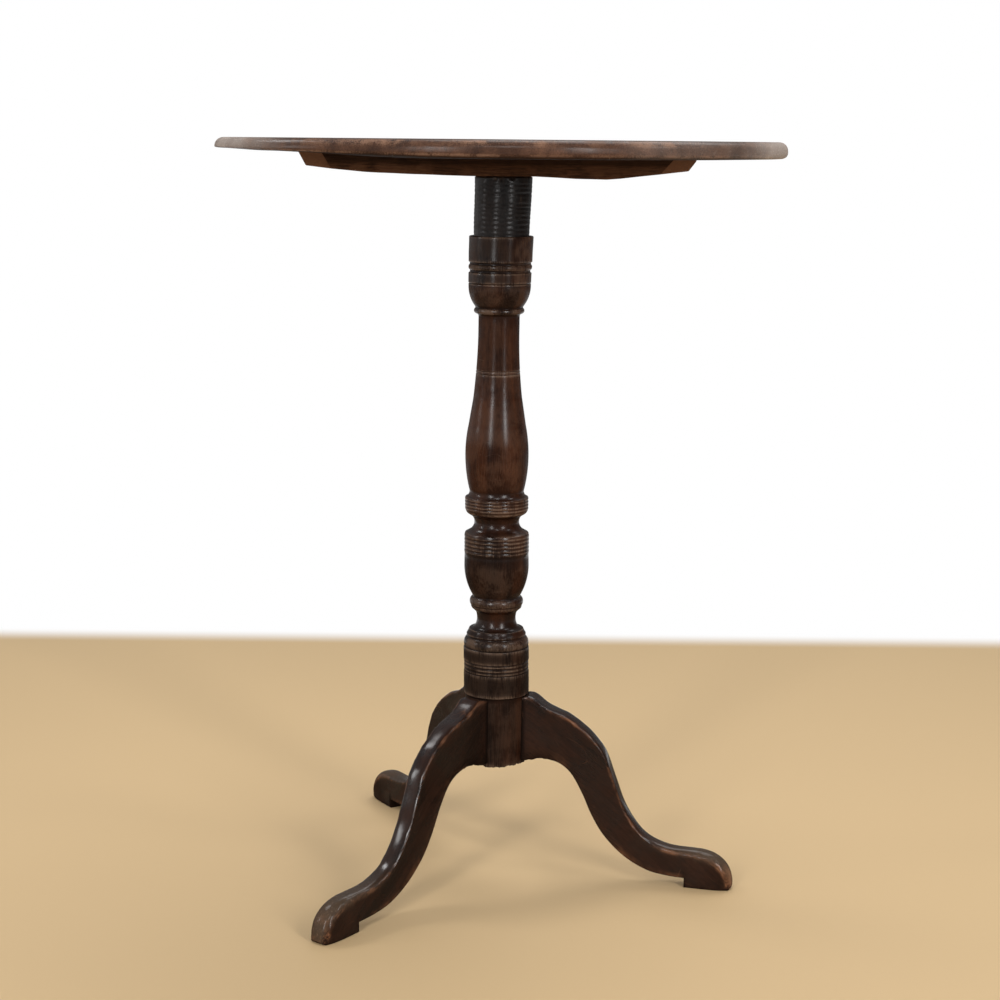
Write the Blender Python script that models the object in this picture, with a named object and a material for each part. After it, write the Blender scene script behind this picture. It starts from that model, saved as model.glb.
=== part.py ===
"""Tripod table: a round boarded top on one bearer, a rough-turned neck, a turned pillar and cabriole legs.

The pieces go together as a country workshop would make them. The boards are glued edge to edge and screwed
to the bearer from below. The neck's tenon passes through the bearer and is spread by a wedge, and its spigot
stands in a socket bored in the pillar. Each leg carries a dovetail key, which slides up into a housing in the
pillar's foot.

Lengths are in metres, +Z is up, and the floor is at Z = 0 under the middle of the top.
"""

import math

import bmesh
import bpy
from mathutils import Matrix, Vector

# Overall sizes
TABLE_HEIGHT = 0.7185
SEAT_GAP = 0.0003  # clearance between two pieces that touch on the bench
MERGE_DISTANCE = 0.000003
SMOOTH_ANGLE = math.radians(35)
CUT_OVERRUN = 0.004  # how far a cutter runs past the face it opens

# Top: boards side by side, with the grain from front to back
TOP_DIAMETER = 0.535
TOP_THICKNESS = 0.016
TOP_BOARD_NAMES = ("top_board_left", "top_board_middle", "top_board_right")
TOP_UPPER_ROUNDING = 0.0082
TOP_LOWER_ROUNDING = 0.0058
TOP_UPPER_STEPS = 3
TOP_LOWER_STEPS = 2
TOP_SIDES = 80
# The rim is bevelled from below by hand, hardly at all on the right and much deeper on the left: how far the
# bevel runs inwards, its two depths, and where on the left it is deepest, as a share of the radius
RIM_BEVEL_WIDTH = 0.034
RIM_BEVEL_LEAST_DEPTH = 0.0008
RIM_BEVEL_DEPTH = 0.0056
RIM_BEVEL_DEEPEST_share = 0.64
RIM_BEVEL_POWER = 1.5

# Bearer under the top, running from left to right across the boards
BEARER_LEFT_REACH = 0.1885
BEARER_RIGHT_REACH = 0.1817
BEARER_WIDTH = 0.070
BEARER_THICKNESS = 0.0175
# The underside was hewn by eye, thinner to the left of the neck and thicker to the right: how far out each
# corner stands as a share of that side's reach, and the thickness there as a share of that at the neck
BEARER_LEFT_shares = (
    (0.170, 1.000),
    (0.453, 0.923),
    (0.603, 0.874),
    (0.677, 0.831),
    (0.826, 0.680),
    (0.965, 0.514),
    (1.000, 0.103),
)
BEARER_RIGHT_shares = (
    (0.176, 1.000),
    (0.381, 1.097),
    (0.536, 1.126),
    (0.613, 1.063),
    (0.961, 0.640),
    (1.000, 0.103),
)
BEARER_SIDE_EASING = 0.0015
BEARER_EASED_ANGLE = math.radians(60)
# The four corners of its ends are hewn off in slanting facets
BEARER_FACET_LENGTH = 0.022
BEARER_FACET_SLANT = 0.0155
BEARER_FACET_DEPTH = 0.009

# Screws that hold the bearer to the boards
SCREW_LENGTH = 0.022
SCREW_SHANK_RADIUS = 0.0021
SCREW_HEAD_RADIUS = 0.0043
SCREW_HEAD_HEIGHT = 0.0028
SCREW_POINT_LENGTH = 0.004
SCREW_SLOT_WIDTH = 0.0009
SCREW_SLOT_DEPTH = 0.0011
SCREW_SINK = 0.0008
SCREW_SIDES = 12
SCREW_LINE_OFFSET = 0.019

# Where the screws stand along the bearer, from the neck's middle, as shares of that side's reach
OUTER_SCREW_share = 0.730
INNER_SCREW_share = 0.280

# Neck between the bearer and the pillar
NECK_HEIGHT = 0.0566
NECK_TOP_RADIUS = 0.0275
NECK_FOOT_RADIUS = 0.0266
NECK_ARRIS = 0.0010
NECK_RIPPLE_PITCH = 0.0046
NECK_RIPPLE_DEPTH = 0.00022
TENON_RADIUS = 0.014
SPIGOT_RADIUS = 0.015
SPIGOT_LENGTH = 0.046
SPIGOT_CHAMFER = 0.002
SOCKET_END_SPACE = 0.0010

# Wedge in the kerf of the tenon
WEDGE_LENGTH = 0.0145
WEDGE_THICK_END = 0.0034
WEDGE_THIN_END = 0.0016

# Pillar
PILLAR_FOOT_HEIGHT = 0.113
LEG_JOINT_HEIGHT = 0.070
DRUM_RADIUS = 0.0322
JOINT_RADIUS = 0.0306
PILLAR_FOOT_CHAMFER = 0.0012
PILLAR_SIDES = 36
NECK_SIDES = 26

# Each row is one cut of the turning tool, from the top down: its height as a share of the turned length, the
# radius it ends on as a share of the drum's, how far it bellies out (or in, below zero) as a share of its
# own chord, and the number of straight facets that draw it.
COLLAR_shares = (
    (0.0016, 0.953, 0.0, 1),
    (0.0474, 0.944, 0.0, 1),
    (0.0022, 0.916, 0.0, 1),
    (0.0112, 0.916, 0.150, 2),
    (0.0112, 0.900, 0.150, 2),
    (0.0022, 0.935, 0.0, 1),
    (0.0225, 0.932, 0.0, 1),
)
CUP_shares = (
    (0.0018, 0.913, 0.0, 1),
    (0.0470, 0.720, 0.080, 5),
    (0.0031, 0.708, 0.0, 1),
    (0.0126, 0.655, 0.390, 4),
    (0.0040, 0.615, 0.0, 1),
)
SHAFT_shares = (
    (0.0422, 0.615, 0.0, 1),
    (0.1347, 0.730, -0.013, 4),
    (0.0606, 0.863, 0.0, 1),
    (0.1437, 0.820, 0.056, 8),
)
REEDED_RING_shares = (
    (0.0148, 0.882, -0.080, 2),
    (0.0022, 0.947, 0.0, 1),
    (0.0067, 0.947, 0.130, 2),
    (0.0067, 0.947, 0.130, 2),
    (0.0067, 0.944, 0.130, 2),
    (0.0130, 0.851, 0.120, 2),
    (0.0054, 0.745, 0.0, 1),
    (0.0319, 0.823, -0.225, 6),
    (0.0054, 0.969, 0.0, 1),
)
URN_shares = (
    (0.0036, 0.969, 0.0, 1),
    (0.0094, 0.969, 0.090, 2),
    (0.0094, 0.969, 0.090, 2),
    (0.0094, 0.969, 0.090, 2),
    (0.0094, 0.972, 0.090, 2),
    (0.0261, 0.978, 0.0, 1),
    (0.0727, 0.733, 0.070, 6),
    (0.0036, 0.736, 0.0, 1),
    (0.0256, 0.730, 0.220, 5),
    (0.0072, 0.627, 0.0, 1),
    (0.0341, 0.739, -0.185, 6),
    (0.0045, 0.851, 0.0, 1),
    (0.0040, 0.866, 0.0, 1),
)
DRUM_shares = (
    (0.0018, 0.851, 0.0, 1),
    (0.0400, 0.988, 0.100, 5),
    (0.0031, 0.960, 0.0, 1),
    (0.0027, 0.997, 0.0, 1),
    (0.0202, 1.000, 0.0, 1),
    (0.0020, 0.975, 0.0, 1),
    (0.0126, 0.975, 0.080, 2),
    (0.0126, 0.975, 0.080, 2),
    (0.0022, 0.997, 0.0, 1),
)

# Legs: a sawn slab that thins towards the ankle, with a worn round crown on its upper edge
LEG_THICKNESS = 0.0285
LEG_TOE_THICKNESS = 0.0240
LEG_WAISTING = 0.0076
LEG_CROWN = 0.0010
LEG_TOE_CROWN = 0.0068
LEG_CROWN_POWER = 3
LEG_CROWN_GROWTH_POWER = 3
LEG_CROWN_FACETS = 3
LEG_LOWER_EASING = 0.0016
LEG_ARRIS = 0.0012
FOOT_PAD_HEIGHT = 0.0092
FOOT_PAD_LENGTH = 0.0465

# Bearing of each leg round the pillar, and its reach from the axis to the tip of its toe. They are set out
# by eye, so they stand neither in exact thirds nor all at one reach.
LEG_BEARINGS = {
    "leg_right": math.radians(-12.5),
    "leg_back_left": math.radians(119.8),
    "leg_front_left": math.radians(231.5),
}
LEG_REACHES = {
    "leg_right": 0.238,
    "leg_back_left": 0.259,
    "leg_front_left": 0.258,
}

# Points that the leg's two long edges sweep through, from the pillar outwards: distance from the axis as a
# share of the reach, and height as a share of the joint's upper end.
LEG_UPPER_shares = (
    (0.080, 0.992),
    (0.126, 0.995),
    (0.153, 0.998),
    (0.175, 0.983),
    (0.197, 0.961),
    (0.222, 0.940),
    (0.262, 0.918),
    (0.309, 0.894),
    (0.360, 0.850),
    (0.407, 0.800),
    (0.463, 0.708),
    (0.504, 0.571),
    (0.545, 0.430),
    (0.598, 0.319),
    (0.655, 0.252),
    (0.740, 0.212),
    (0.850, 0.203),
)
LEG_LOWER_shares = (
    (0.080, 0.636),
    (0.126, 0.638),
    (0.203, 0.652),
    (0.268, 0.642),
    (0.325, 0.587),
    (0.374, 0.478),
    (0.415, 0.360),
    (0.468, 0.250),
    (0.549, 0.148),
    (0.644, 0.080),
    (0.730, 0.057),
    (0.806, 0.051),
)
# The toe, from the end of the sweep to the floor, with the place on the sole that faces each point and the
# share of the leg's thickness that is left where the tip is rounded
LEG_TOE_shares = (
    (0.880, 0.200, 0.836, 1.00),
    (0.918, 0.187, 0.864, 1.00),
    (0.952, 0.162, 0.892, 1.00),
    (0.978, 0.127, 0.920, 0.98),
    (0.993, 0.087, 0.946, 0.93),
    (1.000, 0.048, 0.967, 0.85),
    (1.000, 0.018, 0.984, 0.73),
)
# Where the pad's heel is faced, from the end of the sweep to the toe's first point
HEEL_POINT_share = 0.2
LEG_STATIONS = 22
CURVE_STEPS = 6

# The most of a section's own height that its shaping may take where the toe runs out to nothing
TOE_END_CROWN_share = 0.5
TOE_END_EASING_share = 0.25
TOE_END_ARRIS_share = 0.125

# Dovetail key of each leg
KEY_DEPTH = 0.0135
KEY_ROOT_WIDTH = 0.0115
KEY_END_WIDTH = 0.0175
KEY_EMBEDDING = 0.006
KEY_TOP_SHOULDER = 0.007
KEY_FOOT_SHOULDER = 0.006

# Heights that follow from the sizes above
BEARER_TOP = TABLE_HEIGHT - TOP_THICKNESS - SEAT_GAP
BEARER_UNDERSIDE = BEARER_TOP - BEARER_THICKNESS
NECK_TOP = BEARER_UNDERSIDE - SEAT_GAP
NECK_FOOT = NECK_TOP - NECK_HEIGHT
PILLAR_TOP = NECK_FOOT - SEAT_GAP
LEG_JOINT_TOP = PILLAR_FOOT_HEIGHT + LEG_JOINT_HEIGHT
TURNED_LENGTH = PILLAR_TOP - LEG_JOINT_TOP


def clear_scene():
    for obj in list(bpy.data.objects):
        bpy.data.objects.remove(obj, do_unlink=True)


def make_material(name, colour, roughness, metallic=0.0):
    material = bpy.data.materials.new(name)
    material.use_nodes = True
    shader = material.node_tree.nodes["Principled BSDF"]
    shader.inputs["Base Color"].default_value = (*colour, 1.0)
    shader.inputs["Roughness"].default_value = roughness
    shader.inputs["Metallic"].default_value = metallic
    return material


def add_object(name, bm, material=None, smooth=False):
    """Turns a bmesh into a named object; one with no material is a cutter or a guide, and is hidden."""
    bmesh.ops.remove_doubles(bm, verts=bm.verts, dist=MERGE_DISTANCE)
    bmesh.ops.recalc_face_normals(bm, faces=bm.faces)
    mesh = bpy.data.meshes.new(name)
    bm.to_mesh(mesh)
    bm.free()
    obj = bpy.data.objects.new(name, mesh)
    bpy.context.scene.collection.objects.link(obj)
    if material:
        mesh.materials.append(material)
    else:
        obj.hide_render = True
        obj.display_type = "WIRE"
    if smooth:
        mesh.shade_smooth()
        mesh.set_sharp_from_angle(angle=SMOOTH_ANGLE)
    return obj


def add_boolean(obj, other, operation):
    modifier = obj.modifiers.new(f"{operation.lower()} {other.name}", "BOOLEAN")
    modifier.operation = operation
    modifier.solver = "EXACT"
    modifier.object = other


def turned(name, profile, sides, material=None):
    """Spins (radius, height) points, from one end of the axis to the other, into a closed round body."""
    bm = bmesh.new()
    verts = [bm.verts.new((radius, 0, height)) for radius, height in profile]
    for upper, lower in zip(verts, verts[1:]):
        bm.edges.new((upper, lower))
    bmesh.ops.spin(
        bm, geom=list(bm.verts) + list(bm.edges), axis=(0, 0, 1), cent=(0, 0, 0),
        angle=math.tau, steps=sides, use_merge=True,
    )
    return add_object(name, bm, material, smooth=True)


def extruded(name, outline, along, material=None):
    """Carries a flat closed outline (a list of Vectors) along one vector."""
    bm = bmesh.new()
    face = bm.faces.new([bm.verts.new(point) for point in outline])
    grown = bmesh.ops.extrude_face_region(bm, geom=[face])["geom"]
    moved = [element for element in grown if isinstance(element, bmesh.types.BMVert)]
    bmesh.ops.translate(bm, verts=moved, vec=along)
    return add_object(name, bm, material)


def arc_points(start, end, belly, steps):
    """Points after start on an arc whose rise is belly times its chord, out from the axis if positive."""
    start, end = Vector(start), Vector(end)
    if belly == 0:
        return [start.lerp(end, step / steps) for step in range(1, steps + 1)]
    chord = end - start
    outward = Vector((-chord.y, chord.x)).normalized()
    rise = belly * chord.length
    radius = (chord.length_squared / 4 + rise * rise) / (2 * rise)
    centre = start.lerp(end, 0.5) + outward * (rise - radius)
    turn = 2 * math.atan2(2 * rise, chord.length) * 2
    spoke = start - centre
    return [centre + Matrix.Rotation(-turn * step / steps, 2) @ spoke for step in range(1, steps + 1)]


def smooth_curve(points, steps):
    """A Catmull-Rom curve through the points, with the same number of steps between each pair."""
    points = [Vector(point) for point in points]
    ends = [points[0] * 2 - points[1]] + points + [points[-1] * 2 - points[-2]]
    curve = [points[0]]
    for before, start, end, after in zip(ends, ends[1:], ends[2:], ends[3:]):
        for step in range(1, steps + 1):
            t = step / steps
            curve.append(
                ((start * 2) + (end - before) * t + (before * 2 - start * 5 + end * 4 - after) * t * t
                 + (start * 3 - before - end * 3 + after) * t * t * t) / 2
            )
    return curve


def evenly_spaced(curve, count):
    """Count points at equal steps of length along a drawn curve."""
    lengths = [0.0]
    for start, end in zip(curve, curve[1:]):
        lengths.append(lengths[-1] + (end - start).length)
    spaced = []
    for index in range(count):
        wanted = lengths[-1] * index / (count - 1)
        place = min(max(sum(length < wanted for length in lengths), 1), len(curve) - 1)
        share = (wanted - lengths[place - 1]) / (lengths[place] - lengths[place - 1])
        spaced.append(curve[place - 1].lerp(curve[place], share))
    return spaced


def board_edges():
    """Left and right side of each board, in step with the names."""
    width = TOP_DIAMETER / len(TOP_BOARD_NAMES)
    for index, name in enumerate(TOP_BOARD_NAMES):
        left = -TOP_DIAMETER / 2 + index * width
        yield name, left, left + width


def rim_bevel_at(x):
    """How much the bevel takes off the rim at a distance right (or left, below zero) of the middle."""
    share = min(max(-x / (TOP_DIAMETER / 2 * RIM_BEVEL_DEEPEST_share), 0), 1)
    return RIM_BEVEL_LEAST_DEPTH + (RIM_BEVEL_DEPTH - RIM_BEVEL_LEAST_DEPTH) * share**RIM_BEVEL_POWER


def make_top_board(name, left, right, material):
    """One board of the round top: the whole disc with its eased rim, sawn off at the board's two sides."""
    bm = bmesh.new()
    bmesh.ops.create_cone(
        bm, cap_ends=True, segments=TOP_SIDES, radius1=TOP_DIAMETER / 2, radius2=TOP_DIAMETER / 2,
        depth=TOP_THICKNESS, matrix=Matrix.Translation((0, 0, TABLE_HEIGHT - TOP_THICKNESS / 2)),
    )
    middle = TABLE_HEIGHT - TOP_THICKNESS / 2
    roundings = ((1, TOP_UPPER_ROUNDING, TOP_UPPER_STEPS), (-1, TOP_LOWER_ROUNDING, TOP_LOWER_STEPS))
    for sign, rounding, segments in roundings:
        face = middle + sign * TOP_THICKNESS / 2
        rim = [
            edge for edge in bm.edges
            if all(abs(vert.co.z - face) < MERGE_DISTANCE for vert in edge.verts)
        ]
        bmesh.ops.bevel(
            bm, geom=rim, offset=rounding, offset_type="OFFSET", segments=segments,
            profile=0.5, affect="EDGES", material=-1,
        )
    underside = [face for face in bm.faces if face.normal.z < 0 and len(face.verts) == TOP_SIDES]
    bmesh.ops.inset_region(bm, faces=underside, thickness=RIM_BEVEL_WIDTH, use_even_offset=True)
    inner_ring = TOP_DIAMETER / 2 - TOP_LOWER_ROUNDING - RIM_BEVEL_WIDTH / 2
    for vert in bm.verts:
        below = (middle - vert.co.z) / (TOP_THICKNESS / 2)
        if below > 0 and math.hypot(vert.co.x, vert.co.y) > inner_ring:
            vert.co.z += below * rim_bevel_at(vert.co.x)
    half_gap = SEAT_GAP / 2
    for place, outward in ((left + half_gap, -1), (right - half_gap, 1)):
        if abs(place) > TOP_DIAMETER / 2 - SEAT_GAP:
            continue
        bmesh.ops.bisect_plane(
            bm, geom=list(bm.verts) + list(bm.edges) + list(bm.faces), plane_co=(place, 0, 0),
            plane_no=(outward, 0, 0), clear_outer=True,
        )
        bmesh.ops.holes_fill(bm, edges=[edge for edge in bm.edges if edge.is_boundary], sides=0)
    return add_object(name, bm, material, smooth=True)


def bearer_corners(side):
    """Corners of the underside from the neck outwards, right of it (side 1) or left of it (side -1)."""
    reach, shares = (
        (BEARER_RIGHT_REACH, BEARER_RIGHT_shares) if side > 0 else (BEARER_LEFT_REACH, BEARER_LEFT_shares)
    )
    return [(side * reach * out, BEARER_TOP - BEARER_THICKNESS * thick) for out, thick in shares]


def bearer_underside_at(x):
    """Height of the bearer's lower face at a distance right (or left, below zero) of the neck's middle."""
    corners = [(0, BEARER_UNDERSIDE)] + [(abs(place), z) for place, z in bearer_corners(1 if x > 0 else -1)]
    for (start, start_z), (end, end_z) in zip(corners, corners[1:]):
        if abs(x) <= end:
            break
    return start_z + (end_z - start_z) * (abs(x) - start) / (end - start)


def make_bearer(material):
    right_side = bearer_corners(1) + [(BEARER_RIGHT_REACH, BEARER_TOP)]
    left_side = bearer_corners(-1) + [(-BEARER_LEFT_REACH, BEARER_TOP)]
    outline = [Vector((x, -BEARER_WIDTH / 2, z)) for x, z in (*right_side, *reversed(left_side))]
    bearer = extruded("bearer", outline, Vector((0, BEARER_WIDTH, 0)), material)
    bm = bmesh.new()
    bm.from_mesh(bearer.data)
    for tip in (BEARER_RIGHT_REACH, -BEARER_LEFT_REACH):
        for face in (BEARER_WIDTH / 2, -BEARER_WIDTH / 2):
            inward = -math.copysign(1, tip)
            upper = Vector((tip + inward * BEARER_FACET_LENGTH, face, BEARER_TOP))
            lower = upper + Vector((inward * BEARER_FACET_SLANT, 0, -BEARER_THICKNESS))
            end = Vector((tip, face - math.copysign(BEARER_FACET_DEPTH, face), BEARER_TOP))
            outward = (lower - upper).cross(end - upper)
            if outward.y * face < 0:
                outward.negate()
            bmesh.ops.bisect_plane(
                bm, geom=list(bm.verts) + list(bm.edges) + list(bm.faces), plane_co=upper,
                plane_no=outward, clear_outer=True,
            )
            bmesh.ops.holes_fill(bm, edges=[edge for edge in bm.edges if edge.is_boundary], sides=0)
    bmesh.ops.recalc_face_normals(bm, faces=bm.faces)
    bm.to_mesh(bearer.data)
    bm.free()
    easing = bearer.modifiers.new("eased arrises", "BEVEL")
    easing.width = BEARER_SIDE_EASING
    easing.segments = 1
    easing.limit_method = "ANGLE"
    easing.angle_limit = BEARER_EASED_ANGLE
    return bearer


def screw_places():
    """(x, y, height of the head's face) of each screw: two for every board."""
    for reach, out, y in (
        (-BEARER_LEFT_REACH, OUTER_SCREW_share, -SCREW_LINE_OFFSET),
        (-BEARER_LEFT_REACH, OUTER_SCREW_share, SCREW_LINE_OFFSET),
        (-BEARER_LEFT_REACH, INNER_SCREW_share, -SCREW_LINE_OFFSET),
        (BEARER_RIGHT_REACH, INNER_SCREW_share, SCREW_LINE_OFFSET),
        (BEARER_RIGHT_REACH, OUTER_SCREW_share, -SCREW_LINE_OFFSET),
        (BEARER_RIGHT_REACH, OUTER_SCREW_share, SCREW_LINE_OFFSET),
    ):
        yield reach * out, y, bearer_underside_at(reach * out) + SCREW_SINK


def make_screw(name, x, y, face, material):
    """A countersunk wood screw driven upwards, with its slot cut across the head."""
    screw = turned(
        name,
        (
            (0, face + SCREW_LENGTH),
            (SCREW_SHANK_RADIUS, face + SCREW_LENGTH - SCREW_POINT_LENGTH),
            (SCREW_SHANK_RADIUS, face + SCREW_HEAD_HEIGHT),
            (SCREW_HEAD_RADIUS, face),
            (0, face),
        ),
        SCREW_SIDES, material,
    )
    screw.location = (x, y, 0)
    half_slot, reach = SCREW_SLOT_WIDTH / 2, SCREW_HEAD_RADIUS + CUT_OVERRUN
    slot = extruded(
        f"{name}_slot_cutter",
        [Vector(corner) for corner in (
            (-reach, -half_slot, face - CUT_OVERRUN), (reach, -half_slot, face - CUT_OVERRUN),
            (reach, half_slot, face - CUT_OVERRUN), (-reach, half_slot, face - CUT_OVERRUN),
        )],
        Vector((0, 0, CUT_OVERRUN + SCREW_SLOT_DEPTH)),
    )
    slot.parent = screw
    add_boolean(screw, slot, "DIFFERENCE")


def make_screw_hole(name, x, y, face):
    """The bored and countersunk way for one screw, SEAT_GAP wider than it all round."""
    shank, head = SCREW_SHANK_RADIUS + SEAT_GAP, SCREW_HEAD_RADIUS + SEAT_GAP
    cutter = turned(
        f"{name}_hole_cutter",
        (
            (0, face + SCREW_LENGTH + SEAT_GAP),
            (shank, face + SCREW_LENGTH - SCREW_POINT_LENGTH + SEAT_GAP),
            (shank, face + SCREW_HEAD_HEIGHT),
            (head, face),
            (head, face - CUT_OVERRUN),
            (0, face - CUT_OVERRUN),
        ),
        SCREW_SIDES,
    )
    cutter.location = (x, y, 0)
    return cutter


def neck_profile():
    """The neck from the tenon's upper end to the spigot's lower end, with a ripple left by the gouge."""
    points = [(0, BEARER_TOP), (TENON_RADIUS, BEARER_TOP), (TENON_RADIUS, NECK_TOP)]
    points.append((NECK_TOP_RADIUS - NECK_ARRIS, NECK_TOP))
    ripples = round((NECK_HEIGHT - NECK_ARRIS) / NECK_RIPPLE_PITCH)
    for half in range(2 * ripples + 1):
        down = half / (2 * ripples)
        radius = NECK_TOP_RADIUS + (NECK_FOOT_RADIUS - NECK_TOP_RADIUS) * down
        hollow = NECK_RIPPLE_DEPTH if half % 2 else 0
        points.append((radius - hollow, NECK_TOP - NECK_ARRIS + (NECK_FOOT - NECK_TOP + NECK_ARRIS) * down))
    spigot_end = NECK_FOOT - SPIGOT_LENGTH
    points += [
        (SPIGOT_RADIUS, NECK_FOOT),
        (SPIGOT_RADIUS, spigot_end + SPIGOT_CHAMFER),
        (SPIGOT_RADIUS - SPIGOT_CHAMFER, spigot_end),
        (0, spigot_end),
    ]
    return points


def wedge_outline(gap, overrun):
    """The wedge's long thin face across the tenon, seen from the front and widened by a gap."""
    thick, thin = WEDGE_THICK_END / 2 + gap, WEDGE_THIN_END / 2 + gap
    half_width = TENON_RADIUS + overrun
    top, bottom = BEARER_TOP + overrun, BEARER_TOP - WEDGE_LENGTH - gap
    return [
        Vector((-thick, -half_width, top)), Vector((thick, -half_width, top)),
        Vector((thin, -half_width, bottom)), Vector((-thin, -half_width, bottom)),
    ], Vector((0, 2 * half_width, 0))


def make_neck_wedge(material):
    """The wedge, rounded off to the tenon's own curve at both ends."""
    outline, along = wedge_outline(0, 0)
    wedge = extruded("neck_wedge", outline, along, material)
    above = BEARER_TOP + CUT_OVERRUN
    profile = ((0, above), (TENON_RADIUS, above), (TENON_RADIUS, NECK_TOP), (0, NECK_TOP))
    trim = turned("wedge_trim_guide", profile, NECK_SIDES)
    add_boolean(wedge, trim, "INTERSECT")


def pillar_profile():
    """The pillar from its socket's floor, up the bore, over the collar and down the turning to its foot."""
    socket_floor = NECK_FOOT - SPIGOT_LENGTH - SOCKET_END_SPACE
    socket_radius = SPIGOT_RADIUS + SEAT_GAP
    points = [(0, socket_floor), (socket_radius, socket_floor), (socket_radius, PILLAR_TOP)]
    first_cut = COLLAR_shares[0]
    radius, height = DRUM_RADIUS * first_cut[1] - TURNED_LENGTH * first_cut[0], PILLAR_TOP
    points.append((radius, height))
    cuts = (*COLLAR_shares, *CUP_shares, *SHAFT_shares, *REEDED_RING_shares, *URN_shares, *DRUM_shares)
    for height_share, radius_share, belly, steps in cuts:
        start = (radius, height)
        radius, height = DRUM_RADIUS * radius_share, height - TURNED_LENGTH * height_share
        points += [tuple(point) for point in arc_points(start, (radius, height), belly, steps)]
    points += [
        (radius, LEG_JOINT_TOP),
        (JOINT_RADIUS, LEG_JOINT_TOP),
        (JOINT_RADIUS, PILLAR_FOOT_HEIGHT + PILLAR_FOOT_CHAMFER),
        (JOINT_RADIUS - PILLAR_FOOT_CHAMFER, PILLAR_FOOT_HEIGHT),
        (0, PILLAR_FOOT_HEIGHT),
    ]
    return points


def key_outline(gap, outer, bottom):
    """The dovetail seen from below, along +X: narrow at the pillar's face and wide at its inner end."""
    root, end = KEY_ROOT_WIDTH / 2 + gap, KEY_END_WIDTH / 2 + gap
    inner = JOINT_RADIUS - KEY_DEPTH - gap
    return [
        Vector((inner, -end, bottom)), Vector((outer, -root, bottom)),
        Vector((outer, root, bottom)), Vector((inner, end, bottom)),
    ]


def make_housing(name, bearing):
    """The dovetail housing of one leg, open at the pillar's foot and stopped below the leg's upper edge."""
    bottom = PILLAR_FOOT_HEIGHT - CUT_OVERRUN
    top = LEG_JOINT_TOP - KEY_TOP_SHOULDER + SEAT_GAP
    outline = key_outline(SEAT_GAP, JOINT_RADIUS + CUT_OVERRUN, bottom)
    cutter = extruded(f"{name}_housing_cutter", outline, Vector((0, 0, top - bottom)))
    cutter.rotation_euler.z = bearing
    return cutter


def leg_stations(reach):
    """(upper point, lower point, share of the thickness) rows in the leg's plane, from pillar to toe."""
    def place(reach_share, height_share):
        return reach_share * reach, height_share * LEG_JOINT_TOP

    heel = reach - FOOT_PAD_LENGTH
    lower_points = [place(*point) for point in LEG_LOWER_shares[:-1]] + [(heel, FOOT_PAD_HEIGHT)]
    upper_points = [place(*point) for point in LEG_UPPER_shares]
    upper = evenly_spaced(smooth_curve(upper_points, CURVE_STEPS), LEG_STATIONS)
    lower = evenly_spaced(smooth_curve(lower_points, CURVE_STEPS), LEG_STATIONS)
    stations = [(above, below, 1.0) for above, below in zip(upper, lower)]
    toe_start = Vector(place(*LEG_TOE_shares[0][:2]))
    stations.append((upper[-1].lerp(toe_start, HEEL_POINT_share), Vector((heel, 0)), 1.0))
    for reach_share, height_share, sole_share, width_share in LEG_TOE_shares:
        above = Vector(place(reach_share, height_share))
        stations.append((above, Vector((sole_share * reach, 0)), width_share))
    return stations


def leg_section(upper, lower, out, width_share):
    """The slab's outline at one station: flat sides, an eased lower face and a crowned upper face."""
    straight = LEG_THICKNESS + (LEG_TOE_THICKNESS - LEG_THICKNESS) * out
    half = (straight - LEG_WAISTING * 4 * out * (1 - out)) / 2 * width_share
    rise = upper - lower
    up = rise.normalized()
    crown = LEG_CROWN + (LEG_TOE_CROWN - LEG_CROWN) * out**LEG_CROWN_GROWTH_POWER
    crown = min(crown, rise.length * TOE_END_CROWN_share)
    easing = min(LEG_LOWER_EASING, rise.length * TOE_END_EASING_share)
    arris = min(LEG_ARRIS, rise.length * TOE_END_ARRIS_share)
    right_side = [(half - easing, lower), (half, lower + up * easing), (half, upper - up * (crown + arris))]
    for facet in range(LEG_CROWN_FACETS, 0, -1):
        across = min(facet / LEG_CROWN_FACETS, 1 - arris / half)
        right_side.append((half * across, upper - up * crown * across**LEG_CROWN_POWER))
    left_side = [(-y, point) for y, point in reversed(right_side)]
    ring = right_side + [(0, upper)] + left_side
    return [Vector((point.x, y, point.y)) for y, point in ring]


def make_leg_body(name, reach, material):
    """Lofts the sections into one slab along +X."""
    bm = bmesh.new()
    loops = []
    for upper, lower, width_share in leg_stations(reach):
        section = leg_section(upper, lower, upper.x / reach, width_share)
        verts = [bm.verts.new(point) for point in section]
        loops.append([bm.edges.new(pair) for pair in zip(verts, verts[1:] + verts[:1])])
    for inner, outer in zip(loops, loops[1:]):
        bmesh.ops.bridge_loops(bm, edges=inner + outer)
    for loop in (loops[0], loops[-1]):
        bmesh.ops.contextual_create(bm, geom=loop)
    return add_object(name, bm, material, smooth=True)


def make_leg(name, bearing, reach, shoulder_cutter, material):
    """One leg: the slab is scribed to the round pillar, then its dovetail key is joined on."""
    leg = make_leg_body(name, reach, material)
    leg.rotation_euler.z = bearing
    bottom = PILLAR_FOOT_HEIGHT + KEY_FOOT_SHOULDER
    top = LEG_JOINT_TOP - KEY_TOP_SHOULDER
    outline = key_outline(0, JOINT_RADIUS + KEY_EMBEDDING, bottom)
    key = extruded(f"{name}_key_guide", outline, Vector((0, 0, top - bottom)))
    key.parent = leg
    add_boolean(leg, shoulder_cutter, "DIFFERENCE")
    add_boolean(leg, key, "UNION")


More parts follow.
